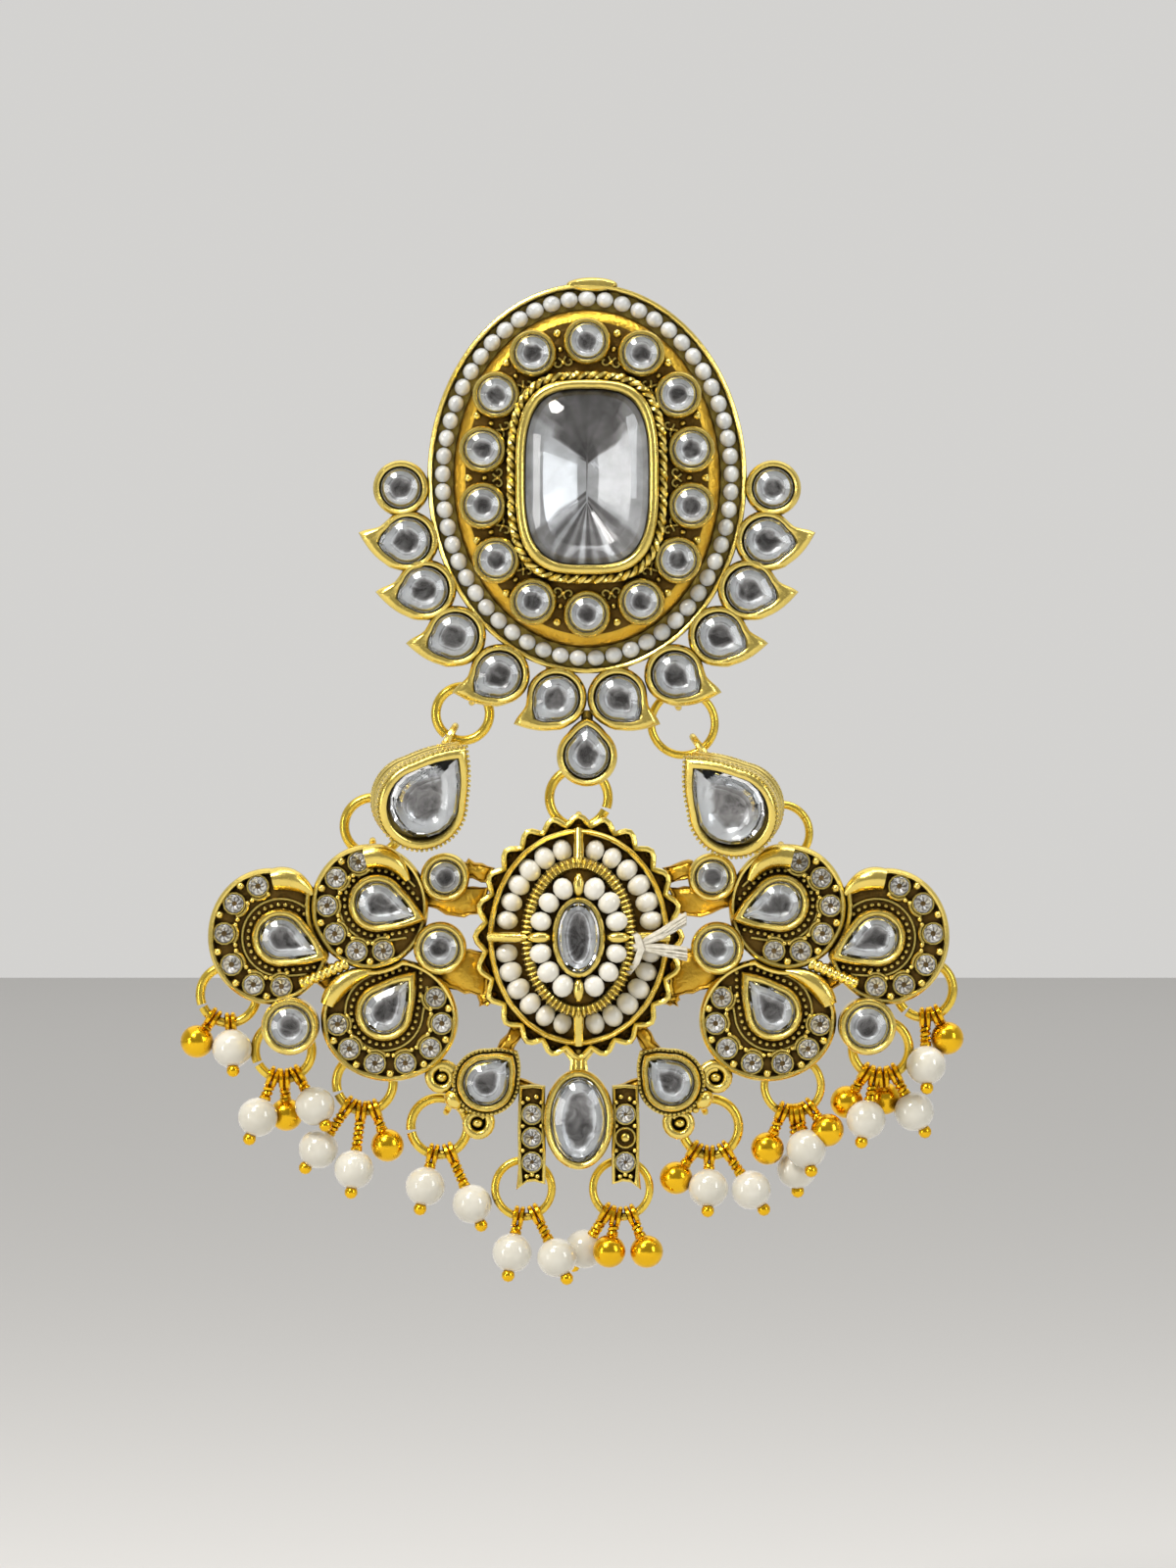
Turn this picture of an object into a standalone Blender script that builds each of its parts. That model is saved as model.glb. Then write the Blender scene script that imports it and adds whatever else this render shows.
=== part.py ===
"""Hair bun brooch: an oval crest with a fringe of petals, and a wide jewelled drop hanging under it on rings.

Everything is modelled face up, as on a jeweller's bench: x to the right, y up the piece, z from its back to its
front. Two empties then stand the crest and the drop upright, so that the front faces -Y.
"""
import bmesh
import bpy
from math import acos, atan2, cos, hypot, pi, radians, sin
from mathutils import Matrix, Vector

# Sides of round work: settings and their stones, the large ovals, wire
SETTING_SIDES = 10
COLLET_SIDES = 8
OVAL_SIDES = 24
WIRE_SIDES = 5

# Fits
GAP = 0.0003
FUSE = 0.0004
WIRE = 0.0010
EYE_WIRE = 0.0007
DOUBLE = 1.5

# Crest
CREST_HALF_WIDTH = 0.01625
CREST_HALF_HEIGHT = 0.01985
CREST_PLATE = 0.0012
CREST_RIM_WIDTH = 0.0005
CREST_RIM_HEIGHT = 0.0029
PEARL_ROW_DIAMETER = 0.0016
PLATEAU_HEIGHT = 0.0036
PLATEAU_SLOPE = 0.0006
COLLET_COUNT = 14
COLLET_RADIUS = 0.00235
COLLET_RIM = 0.00055
COLLET_HEIGHT = 0.0050
COLLET_SETBACK = 0.0033
CREST_CUTOUT = 0.0009

# Main stone
MAIN_HALF_WIDTH = 0.0062
MAIN_HALF_HEIGHT = 0.0088
MAIN_BEZEL_RIM = 0.0007
MAIN_BEZEL_HEIGHT = 0.0066
ROPE_WIDTH = 0.0009
ROPE_HEIGHT = 0.0056

# Fringe
PETAL_HALF_WIDTH = 0.0031
PETAL_HALF_LENGTH = 0.0035
PETAL_BACK = 0.0009
PETAL_FRONT = 0.0032
PETAL_RIM = 0.00055
SEAT_DEPTH = 0.0009
FRINGE_ROUND_RADIUS = 0.00285
BOTTOM_PETAL_HALF_LENGTH = 0.00355

# Rings, pivots and side links
RING_DEPTH = -0.00065
LOWER_RING_DEPTH = -0.00115
CENTRE_RING_RADIUS = 0.0030
SIDE_PIVOT_DROP = 0.02177
CENTRE_PIVOT_DROP = 0.0295
DROP_SHIFT = -0.00085
LINK_HALF_WIDTH = 0.0046
LINK_HALF_LENGTH = 0.0060
LINK_DEPTH = 0.0054
LINK_BACK = 0.0019
LINK_LEAN = radians(17)
LINK_RIM = 0.0009

# Drop
DROP_BACK = 0.00015
DROP_PLATE = 0.0012
TOOTH_COUNT = 24
MEDALLION_HALF_WIDTH = 0.0108
MEDALLION_HALF_HEIGHT = 0.0126
TOOTH_DEPTH = 0.0011
RING_OVERLAP = 0.00145
MEDALLION_DROP = CENTRE_PIVOT_DROP + 2 * CENTRE_RING_RADIUS + MEDALLION_HALF_HEIGHT - RING_OVERLAP
MEDALLION_RIM_HEIGHT = 0.0036
RIDGE_SIDE_MARGIN = 0.0053
RIDGE_END_MARGIN = 0.0048
RIDGE_HEIGHT = 0.0052
BEAD_ROW_DIAMETER = 0.0016
WING_BACK_TO_FRONT = 0.0024
WING_RIM = 0.0005
RHINESTONE_RADIUS = 0.0010
WING_SETTING_HEIGHT = 0.0034
UPPER_SETTING_HEIGHT = 0.0029
RAISED_SETTING_HEIGHT = 0.0056
BAR_HALF_WIDTH = 0.00135

# Hanging drops
PEARL_RADIUS = 0.00205
GOLD_BEAD_RADIUS = 0.0017
CLUSTER_RING_RADIUS = 0.0029

# Hair pin
PIN_WIRE = 0.0013
PIN_SPREAD = 0.0080
PIN_LENGTH = 0.0300
PIN_TOP = 0.0130
PIN_PAD_THICKNESS = 0.0009

# Rim angle in degrees and lean of each petal from the rim's normal, on the right half
PETALS = ((-16.6, 7.7), (-30.6, 7.8), (-45.7, 16), (-62.3, 21), (-80.3, 31))
FRINGE_ROUND_ANGLE = -2.6

# Side links: side, link centre and ring centres as shares of the pivot drop, link turn, upper ring radius,
# angle of the ring's eye at the crest, double wire
LINKS = (
    ("left", -1, (-0.781, -1.437), -37, (-0.583, -1.098), 0.00275, 50.7, (-1.006, -1.626), False),
    ("right", 1, (0.686, -1.470), 41, (0.450, -1.144), 0.00325, 105.6, (0.910, -1.658), True),
)

# Paisleys of a wing: name, centre, half sizes, stone offset, stone direction, first and last rhinestone angle and
# their count, leaf place and turn; lengths are shares of the medallion's half height
PAISLEYS = (
    ("upper", (1.690, 0.242), (0.476, 0.508), (-0.150, 0.000), 199, (75, -109, 6), (1.536, 0.587), 38),
    ("outer", (2.496, 0.004), (0.500, 0.552), (-0.175, -0.048), 204, (75, -105, 6), (2.310, 0.417), 38),
    ("lower", (1.528, -0.670), (0.556, 0.500), (-0.012, 0.135), 128, (-6, -209, 7), (1.869, -0.421), -42),
)
PAISLEY_STONE_WIDTH = 0.0046
PAISLEY_STONE_LENGTH = 0.0061

# Round settings of a wing: name, place as shares of the medallion's half height, radius, height
ROUNDS = (
    ("top", (1.079, 0.480), 0.00250, UPPER_SETTING_HEIGHT),
    ("middle", (1.119, -0.091), 0.00270, WING_SETTING_HEIGHT),
    ("raised", (2.325, -0.718), 0.00290, RAISED_SETTING_HEIGHT),
)

# Foot of the drop: half sizes of its teardrops and oval and the radius of its scrolls, as shares of the
# medallion's half height
BOTTOM_TEARDROP = (0.2657, 0.2833)
BOTTOM_OVAL = (0.2829, 0.4028)
SCROLL = 0.1071

# Clusters: ring centre as shares of the medallion's half height, the eye's root on the frame, double wire, and its
# drops as kind, angle from straight down, reach as a share of the ring radius, depth as a share of a pearl radius
CLUSTERS = (
    ("far_left", (-2.837, -0.472), (-2.75, -0.10), False,
     (("gold", -34, 1.99, 0.1), ("pearl", 4, 1.90, 0.5))),
    ("outer_left", (-2.393, -0.925), (-2.34, -0.60), False,
     (("pearl", -21, 2.51, 0.2), ("gold", 2, 2.28, -0.8), ("pearl", 30, 2.24, 0.6))),
    ("wing_left", (-1.734, -1.187), (-1.66, -0.93), False,
     (("pearl", -35, 2.85, -0.2), ("pearl", -7, 3.06, 0.4), ("gold", 20, 2.34, 0.0))),
    ("scroll_left", (-1.131, -1.540), (-0.98, -1.24), False,
     (("pearl", -13, 2.16, 0.3), ("pearl", 23, 2.97, 0.0))),
    ("bar_left", (-0.448, -2.044), (-0.39, -1.80), True,
     (("pearl", -10, 2.28, 0.4), ("pearl", 26, 2.69, 0.5))),
    ("bar_right", (0.345, -2.044), (0.37, -1.80), True,
     (("pearl", -31, 2.54, -1.2), ("gold", -11, 2.24, 0.3), ("gold", 22, 2.38, 0.3))),
    ("scroll_right", (1.067, -1.546), (0.96, -1.24), False,
     (("gold", -34, 2.16, 0.0), ("pearl", -2, 2.14, 0.5), ("pearl", 33, 2.64, 0.0))),
    ("wing_right", (1.734, -1.210), (1.66, -0.93), True,
     (("gold", -22, 2.38, 0.1), ("pearl", 12, 2.26, 0.6), ("pearl", 3, 2.97, -0.7), ("gold", 38, 1.97, 0.5))),
    ("outer_right", (2.448, -0.909), (2.36, -0.60), False,
     (("gold", -32, 2.24, -0.5), ("pearl", -12, 2.55, 0.4), ("gold", 5, 1.79, -1.1), ("pearl", 28, 2.52, -0.2))),
    ("far_right", (2.802, -0.429), (2.72, -0.08), False,
     (("gold", 25, 1.90, 0.0), ("pearl", 1, 2.66, 0.6))),
)


def clear_scene():
    for thing in list(bpy.data.objects):
        bpy.data.objects.remove(thing, do_unlink=True)


def make_collection(name):
    collection = bpy.data.collections.new(name)
    bpy.context.scene.collection.children.link(collection)
    return collection


def make_material(name, colour, metallic, roughness, transmission=0.0):
    material = bpy.data.materials.new(name)
    material.use_nodes = True
    shader = material.node_tree.nodes["Principled BSDF"]
    shader.inputs["Base Color"].default_value = (*colour, 1.0)
    shader.inputs["Metallic"].default_value = metallic
    shader.inputs["Roughness"].default_value = roughness
    shader.inputs["Transmission Weight"].default_value = transmission
    material.diffuse_color = (*colour, 1.0)
    return material


clear_scene()
BROOCH = make_collection("hair_bun_brooch")
BENCH = make_collection("bench_pieces")
GOLD = make_material("antique_gold", (0.72, 0.52, 0.14), 1.0, 0.32)
BRIGHT_GOLD = make_material("bright_gold", (0.86, 0.58, 0.06), 1.0, 0.22)
STONE = make_material("clear_stone", (0.86, 0.88, 0.89), 0.0, 0.05, 0.6)
PEARL = make_material("ivory_pearl", (0.88, 0.84, 0.74), 0.0, 0.30)
STEEL_PIN = make_material("gilt_pin", (0.62, 0.48, 0.20), 1.0, 0.35)


# Outlines, drawn counter-clockwise round their own centre
def oval(half_width, half_height, count, power=2.0):
    points = []
    for step in range(count):
        angle = 2 * pi * step / count
        across, up = cos(angle), sin(angle)
        size = (abs(across) ** power + abs(up) ** power) ** (-1 / power)
        points.append((half_width * across * size, half_height * up * size))
    return points


def teardrop(half_width, half_length, count):
    """A pear shape with its tip up: a round end and two straight shoulders that touch it."""
    centre = half_width - half_length
    shoulder = acos(half_width / (half_length - centre))
    points = [(0.0, half_length)]
    for step in range(count - 1):
        angle = pi / 2 + shoulder + (2 * pi - 2 * shoulder) * step / (count - 2)
        points.append((half_width * cos(angle), centre + half_width * sin(angle)))
    return points


def leaf(half_width, half_length, bow, count):
    """A pointed leaf along x that bows upwards."""
    points = []
    for step in range(count):
        turn = 2 * pi * step / count
        along = cos(turn)
        points.append((half_length * along, half_width * sin(turn) - bow * along * along))
    return points


def toothed(half_width, half_height, depth, teeth):
    points = []
    for step in range(2 * teeth):
        angle = pi * step / teeth
        pull = depth * (step % 2)
        points.append(((half_width - pull) * cos(angle), (half_height - pull) * sin(angle)))
    return points


def inset(points, distance):
    """The same outline moved inwards, or outwards for a negative distance."""
    moved = []
    for index, point in enumerate(points):
        before = Vector(points[index - 1])
        here = Vector(point)
        after = Vector(points[(index + 1) % len(points)])
        first = (here - before).normalized()
        second = (after - here).normalized()
        normal = Vector((-first.y - second.y, first.x + second.x)).normalized()
        stretch = max(0.35, normal.dot(Vector((-first.y, first.x))))
        moved.append(tuple(here + normal * (distance / stretch)))
    return moved


def on_oval(half_width, half_height, angle):
    return (half_width * cos(angle), half_height * sin(angle))


def even_points(half_width, half_height, power, count):
    """Points at equal steps along a rounded oval, the first one at its top."""
    fine = oval(half_width, half_height, 720, power)
    fine = fine[180:] + fine[:181]
    lengths = [0.0]
    for first, second in zip(fine, fine[1:]):
        lengths.append(lengths[-1] + hypot(second[0] - first[0], second[1] - first[1]))
    picked = []
    for step in range(count):
        target = lengths[-1] * step / count
        index = next(i for i, length in enumerate(lengths) if length >= target)
        picked.append(fine[index])
    return picked


def at(place, turn=0.0):
    x, y, *height = place
    return Matrix.Translation((x, y, height[0] if height else 0.0)) @ Matrix.Rotation(turn, 4, "Z")


# Solids
def finish(shape, matrix):
    bmesh.ops.recalc_face_normals(shape, faces=shape.faces)
    mesh = bpy.data.meshes.new("piece")
    shape.to_mesh(mesh)
    shape.free()
    mesh.transform(matrix)
    piece = bpy.data.objects.new("piece", mesh)
    BENCH.objects.link(piece)
    return piece


def stepped(outline, base, steps, matrix=Matrix.Identity(4)):
    """A closed solid raised from its outline: each step insets its top face by a width and lifts it by a height."""
    shape = bmesh.new()
    bottom = shape.faces.new([shape.verts.new((x, y, base)) for x, y in outline])
    raised = bmesh.ops.extrude_face_region(shape, geom=[bottom])["geom"]
    corners = [item for item in raised if isinstance(item, bmesh.types.BMVert)]
    top = next(item for item in raised if isinstance(item, bmesh.types.BMFace))
    for corner, (x, y) in zip(corners, inset(outline, steps[0][0])):
        corner.co = (x, y, base + steps[0][1])
    for width, height in steps[1:]:
        bmesh.ops.inset_region(shape, faces=[top], thickness=width, depth=height, use_even_offset=True)
    return finish(shape, matrix)


def rod(start, end, radius, sides=5, end_radius=None):
    start, end = Vector(start), Vector(end)
    shape = bmesh.new()
    matrix = Matrix.Translation((start + end) / 2) @ (end - start).to_track_quat("Z", "Y").to_matrix().to_4x4()
    bmesh.ops.create_cone(shape, cap_ends=True, segments=sides, radius1=radius,
                          radius2=radius if end_radius is None else end_radius, depth=(end - start).length)
    return finish(shape, matrix)


def ball(centre, radius, around=10, levels=4, turn=0.0):
    shape = bmesh.new()
    bmesh.ops.create_uvsphere(shape, u_segments=around, v_segments=levels, radius=radius)
    return finish(shape, Matrix.Translation(centre) @ Matrix.Rotation(turn, 4, "Z"))


def hoop(centre, radius, wire, axis=(0, 0, 1), around=12, sides=5, width=1.0):
    """A closed round of wire; width stretches it along its axis for a double turn."""
    bpy.ops.mesh.primitive_torus_add(major_radius=radius, minor_radius=wire / 2,
                                     major_segments=around, minor_segments=sides)
    made = bpy.context.active_object
    mesh = made.data.copy()
    bpy.data.objects.remove(made, do_unlink=True)
    turn = Vector(axis).to_track_quat("Z", "Y").to_matrix().to_4x4()
    mesh.transform(Matrix.Translation(centre) @ turn @ Matrix.Diagonal((1, 1, width, 1)))
    piece = bpy.data.objects.new("piece", mesh)
    BENCH.objects.link(piece)
    return piece


def band(outline, height, diameter, sides=6):
    """A row of small beads as one closed tube along an outline."""
    curve = bpy.data.curves.new("row", "CURVE")
    curve.dimensions = "3D"
    curve.bevel_depth = diameter / 2
    curve.bevel_resolution = (sides - 4) // 2
    spline = curve.splines.new("POLY")
    spline.points.add(len(outline) - 1)
    for point, (x, y) in zip(spline.points, outline):
        point.co = (x, y, height, 1)
    spline.use_cyclic_u = True
    guide = bpy.data.objects.new("row", curve)
    BENCH.objects.link(guide)
    bpy.context.view_layer.update()
    mesh = bpy.data.meshes.new_from_object(guide.evaluated_get(bpy.context.evaluated_depsgraph_get()))
    bpy.data.objects.remove(guide, do_unlink=True)
    piece = bpy.data.objects.new("piece", mesh)
    BENCH.objects.link(piece)
    return piece


def node(name, piece, material, parent, matrix=None):
    """Names a finished piece, gives it its material and hangs it on its empty."""
    BENCH.objects.unlink(piece)
    BROOCH.objects.link(piece)
    piece.name = name
    piece.data.name = name
    piece.data.materials.clear()
    piece.data.materials.append(material)
    piece.parent = parent
    if matrix is not None:
        piece.matrix_local = matrix
    return piece


def fuse(pieces, cutters=()):
    """Solders pieces into one solid, then cuts the openings."""
    base = pieces[0]
    for label, others, operation in (("solder", pieces[1:], "UNION"), ("pierce", cutters, "DIFFERENCE")):
        if not others:
            continue
        group = bpy.data.collections.new(label)
        for piece in others:
            group.objects.link(piece)
        joint = base.modifiers.new(label, "BOOLEAN")
        joint.operation = operation
        joint.operand_type = "COLLECTION"
        joint.collection = group
        joint.solver = "EXACT"
    bpy.context.view_layer.update()
    mesh = bpy.data.meshes.new_from_object(base.evaluated_get(bpy.context.evaluated_depsgraph_get()))
    for piece in (*pieces, *cutters):
        bpy.data.objects.remove(piece, do_unlink=True)
    for label in ("solder", "pierce"):
        for group in [item for item in bpy.data.collections if item.name.startswith(label)]:
            bpy.data.collections.remove(group)
    shape = bmesh.new()
    shape.from_mesh(mesh)
    plain = shape.copy()
    bmesh.ops.dissolve_limit(shape, angle_limit=0.002, verts=shape.verts, edges=shape.edges)
    if all(edge.is_manifold for edge in shape.edges):
        plain.free()
        return finish(shape, Matrix.Identity(4))
    shape.free()
    return finish(plain, Matrix.Identity(4))


# Jeweller's pieces
def setting(outline, back, front, rim, seat, matrix):
    """A bezel with a rim round a sunk seat."""
    return stepped(outline, back, ((0, front - back), (rim, 0), (0, -seat)), matrix)


def cut_stone(outline, base, slope, rise):
    """A flat-backed stone: one facet to each side of its outline, and a table."""
    return stepped(outline, base, ((slope, rise),))


def eye(contact, tangent, wire, root, slack=0.0, depth_scale=1.0):
    """A wire eye round a ring at one point of it, with a stem to its root on a plate."""
    radius = (wire / 2 * depth_scale + GAP) / cos(pi / 6) + EYE_WIRE / 2 + slack
    contact, root = Vector(contact), Vector(root)
    loop = hoop(contact, radius, EYE_WIRE, tangent, 6, 3)
    aim = root - contact
    tangent = Vector(tangent).normalized()
    aim -= tangent * aim.dot(tangent)
    stem = rod(contact + aim.normalized() * radius, root, EYE_WIRE * 0.7, 4)
    return [loop, stem]


def ring_point(centre, radius, angle, depth):
    return (centre[0] + radius * cos(angle), centre[1] + radius * sin(angle), depth)


def ring_tangent(angle):
    return (-sin(angle), cos(angle), 0)


# The two empties that stand the jewel upright; the drop's lies on its swing axis
def make_empty(name, place):
    empty = bpy.data.objects.new(name, None)
    empty.location = place
    empty.rotation_euler = (pi / 2, 0, 0)
    BROOCH.objects.link(empty)
    return empty


CREST = make_empty("crest_bench", (0, 0, 0))
LINK_AXIS = make_empty("side_links_bench", (0, -RING_DEPTH, -SIDE_PIVOT_DROP))
DROP = make_empty("drop_bench", (DROP_SHIFT, -RING_DEPTH, -CENTRE_PIVOT_DROP))
# From a moving bench's axis back to the crest's own bench, and to the medallion's centre
FROM_LINK_AXIS = Matrix.Translation((0, SIDE_PIVOT_DROP, -RING_DEPTH))
FROM_DROP_AXIS = Matrix.Translation((0, CENTRE_PIVOT_DROP - MEDALLION_DROP, -RING_DEPTH))
CENTRE_RING_PLACE = (DROP_SHIFT, -CENTRE_PIVOT_DROP - CENTRE_RING_RADIUS)


def make_crest_plate():
    """Back plate with its rim, the pearl gutter, the sloping wall and the raised ground."""
    gutter = PEARL_ROW_DIAMETER + 2 * GAP
    outline = oval(CREST_HALF_WIDTH, CREST_HALF_HEIGHT, OVAL_SIDES)
    return stepped(outline, 0, (
        (0, CREST_RIM_HEIGHT),
        (CREST_RIM_WIDTH, 0),
        (0, CREST_PLATE - CREST_RIM_HEIGHT),
        (gutter, 0),
        (PLATEAU_SLOPE, PLATEAU_HEIGHT - CREST_PLATE),
    ))


def collet_places():
    return even_points(CREST_HALF_WIDTH - COLLET_SETBACK - COLLET_RADIUS + FUSE / 4,
                       CREST_HALF_HEIGHT - COLLET_SETBACK - COLLET_RADIUS - FUSE / 2, 2.4, COLLET_COUNT)


def make_collets():
    """Round collets, each with its faceted stone standing in it."""
    pieces = []
    for place in collet_places():
        pieces.append(stepped(oval(COLLET_RADIUS, COLLET_RADIUS, COLLET_SIDES), PLATEAU_HEIGHT - FUSE, (
            (0, COLLET_HEIGHT - PLATEAU_HEIGHT + FUSE),
            (COLLET_RIM, 0),
            (COLLET_RADIUS * 0.38, COLLET_RIM),
        ), at(place)))
    return pieces


def main_outline(margin):
    return oval(MAIN_HALF_WIDTH + margin, MAIN_HALF_HEIGHT + margin, 20, 4.0)


def make_main_bezel():
    """Bezel of the main stone inside its rope edge, with a sunk seat."""
    bezel = GAP + MAIN_BEZEL_RIM
    return [
        stepped(main_outline(bezel + ROPE_WIDTH), PLATEAU_HEIGHT - FUSE, ((0, ROPE_HEIGHT - PLATEAU_HEIGHT + FUSE),)),
        stepped(main_outline(bezel), ROPE_HEIGHT - FUSE, (
            (0, MAIN_BEZEL_HEIGHT - ROPE_HEIGHT + FUSE),
            (MAIN_BEZEL_RIM, 0),
            (0, ROPE_HEIGHT - MAIN_BEZEL_HEIGHT + GAP),
        )),
    ]


def crest_cutouts():
    """Small holes through the ground between the side collets and the rope edge."""
    places = collet_places()
    cutters = []
    for side in (-1, 1):
        reach = (abs(places[3][0]) + abs(places[4][0])) / 2 - COLLET_RADIUS * 0.55
        outline = [(side * CREST_CUTOUT, 0), (-side * CREST_CUTOUT * 0.35, CREST_CUTOUT * 1.2),
                   (-side * CREST_CUTOUT * 0.35, -CREST_CUTOUT * 1.2)]
        if side < 0:
            outline.reverse()
        cutters.append(stepped(outline, -CREST_PLATE, ((0, PLATEAU_HEIGHT + 2 * CREST_PLATE),), at((side * reach, 0))))
    return cutters


def fringe_place(rim_angle, clearance):
    """A point beside the crest's rim, and the direction of the rim's normal there."""
    angle = radians(rim_angle)
    x, y = on_oval(CREST_HALF_WIDTH, CREST_HALF_HEIGHT, angle)
    normal = atan2(sin(angle) / CREST_HALF_HEIGHT, cos(angle) / CREST_HALF_WIDTH)
    return (x + clearance * cos(normal), y + clearance * sin(normal)), normal


def fringe_settings():
    """Each setting of the fringe: name, outline, matrix, hook side."""
    settings = []
    petal = teardrop(PETAL_HALF_WIDTH, PETAL_HALF_LENGTH, SETTING_SIDES)
    round_outline = oval(FRINGE_ROUND_RADIUS, FRINGE_ROUND_RADIUS, SETTING_SIDES)
    for side, word in ((-1, "left"), (1, "right")):
        place, normal = fringe_place(FRINGE_ROUND_ANGLE, FRINGE_ROUND_RADIUS - GAP / 2)
        settings.append((f"{word}_round", round_outline, at((side * place[0], place[1])), 0))
        for number, (rim_angle, lean) in enumerate(PETALS, 1):
            place, normal = fringe_place(rim_angle, PETAL_HALF_WIDTH)
            turn = side * (normal + radians(lean) - pi / 2)
            settings.append((f"{word}_{number}", petal, at((side * place[0], place[1]), turn), side))
    bottom = teardrop(PETAL_HALF_WIDTH, BOTTOM_PETAL_HALF_LENGTH, SETTING_SIDES)
    bottom_drop = CREST_HALF_HEIGHT + 2 * PETAL_HALF_WIDTH + BOTTOM_PETAL_HALF_LENGTH / 2
    settings.append(("bottom", bottom, at((0, -bottom_drop)), 0))
    return settings


def make_fringe():
    """Petal settings with hooked tips, each soldered to the crest by a short bar."""
    pieces = []
    bar_height = (PETAL_BACK + PETAL_FRONT) / 2 - SEAT_DEPTH / 2
    for name, outline, matrix, side in fringe_settings():
        pieces.append(setting(outline, PETAL_BACK, PETAL_FRONT, PETAL_RIM, SEAT_DEPTH, matrix))
        centre = matrix.translation
        inward = -centre.normalized() if name != "bottom" else Vector((0, 1, 0))
        start = centre + Vector((0, 0, bar_height)) + inward * PETAL_HALF_WIDTH * 0.8
        length = PETAL_HALF_WIDTH * (0.75 if name == "bottom" else 0.3)
        pieces.append(rod(start, start + inward * length, FUSE * 1.5, 3))
        if side:
            middle = PETAL_BACK + (PETAL_FRONT - PETAL_BACK) * 0.55
            root = matrix @ Vector((side * -PETAL_HALF_WIDTH * 0.02, PETAL_HALF_LENGTH * 0.72, middle))
            tip = matrix @ Vector((side * -PETAL_HALF_WIDTH * 0.42, PETAL_HALF_LENGTH * 1.3, middle))
            pieces.append(rod(root, tip, PETAL_HALF_WIDTH * 0.30, 5, PETAL_HALF_WIDTH * 0.12))
    return pieces


def make_crest_eyes():
    """Eyes at the back that hold the two upper side rings and the centre ring."""
    pieces = []
    for _, side, _, _, ring_share, radius, angle, _, double in LINKS:
        centre = (ring_share[0] * SIDE_PIVOT_DROP, ring_share[1] * SIDE_PIVOT_DROP)
        contact = ring_point(centre, radius, radians(angle), RING_DEPTH)
        root = (contact[0] - side * PETAL_HALF_WIDTH * 0.25, contact[1] + PETAL_HALF_WIDTH * 0.6,
                PETAL_BACK + FUSE)
        pieces += eye(contact, ring_tangent(radians(angle)), WIRE, root, 0, DOUBLE if double else 1)
    contact = ring_point(CENTRE_RING_PLACE, CENTRE_RING_RADIUS, pi / 2, RING_DEPTH)
    root = (contact[0], contact[1] + PETAL_HALF_WIDTH * 0.6, PETAL_BACK + FUSE)
    return pieces + eye(contact, ring_tangent(pi / 2), WIRE, root)


def build_crest():
    ground = fuse([make_crest_plate(), *make_collets(), *make_main_bezel()], crest_cutouts())
    node("crest_frame", fuse([ground, *make_fringe(), *make_crest_eyes()]), GOLD, CREST)
    seat = ROPE_HEIGHT + GAP
    stone = stepped(main_outline(0), seat + GAP, (
        (0, MAIN_BEZEL_HEIGHT - seat),
        (MAIN_HALF_WIDTH * 0.12, MAIN_HALF_WIDTH * 0.09),
        (MAIN_HALF_WIDTH * 0.22, MAIN_HALF_WIDTH * 0.08),
    ))
    node("crest_main_stone", stone, STONE, CREST)
    inner = CREST_RIM_WIDTH + GAP + PEARL_ROW_DIAMETER / 2
    row = band(inset(oval(CREST_HALF_WIDTH, CREST_HALF_HEIGHT, OVAL_SIDES), inner),
               CREST_PLATE + GAP + PEARL_ROW_DIAMETER / 2, PEARL_ROW_DIAMETER)
    node("crest_pearl_row", row, PEARL, CREST)
    for name, outline, matrix, _ in fringe_settings():
        stone = cut_stone(inset(outline, PETAL_RIM + GAP), 0, PETAL_HALF_WIDTH * 0.28, GAP * 4)
        node(f"fringe_stone_{name}", stone, STONE, CREST,
             matrix @ Matrix.Translation((0, 0, PETAL_FRONT - SEAT_DEPTH + GAP)))


def build_hair_pin():
    """A plain pin with two prongs, its pad against the crest's back."""
    level = -GAP - PIN_PAD_THICKNESS
    pad = stepped(oval(PIN_SPREAD * 0.75, PIN_SPREAD * 0.5, 12, 4.0), level, ((0, PIN_PAD_THICKNESS),),
                  at((0, PIN_TOP - PIN_SPREAD * 0.35)))
    depth = level - PIN_WIRE / 2 + FUSE
    pieces = [pad]
    for side in (-1, 1):
        top = (side * PIN_SPREAD / 2, PIN_TOP, depth)
        low = (side * PIN_SPREAD / 2, PIN_TOP - PIN_LENGTH, depth - PIN_WIRE)
        tip = (side * PIN_SPREAD / 2, PIN_TOP - PIN_LENGTH - PIN_WIRE * 2, depth - PIN_WIRE)
        pieces.append(rod(top, low, PIN_WIRE / 2, 6))
        pieces.append(rod((low[0], low[1] + FUSE, low[2]), tip, PIN_WIRE / 2, 6, PIN_WIRE / 6))
    bar = rod((-PIN_SPREAD / 2 - FUSE, PIN_TOP, depth), (PIN_SPREAD / 2 + FUSE, PIN_TOP, depth), PIN_WIRE / 2, 6)
    node("hair_pin", fuse([*pieces, bar]), STEEL_PIN, CREST)


def link_matrix(side, centre, turn):
    """Stands a side link beside its pivot, turned in its plane and leaning outwards."""
    place = Matrix.Translation((centre[0], centre[1], LINK_BACK))
    return place @ Matrix.Rotation(radians(turn), 4, "Z") @ Matrix.Rotation(-side * LINK_LEAN, 4, "Y")


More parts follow.
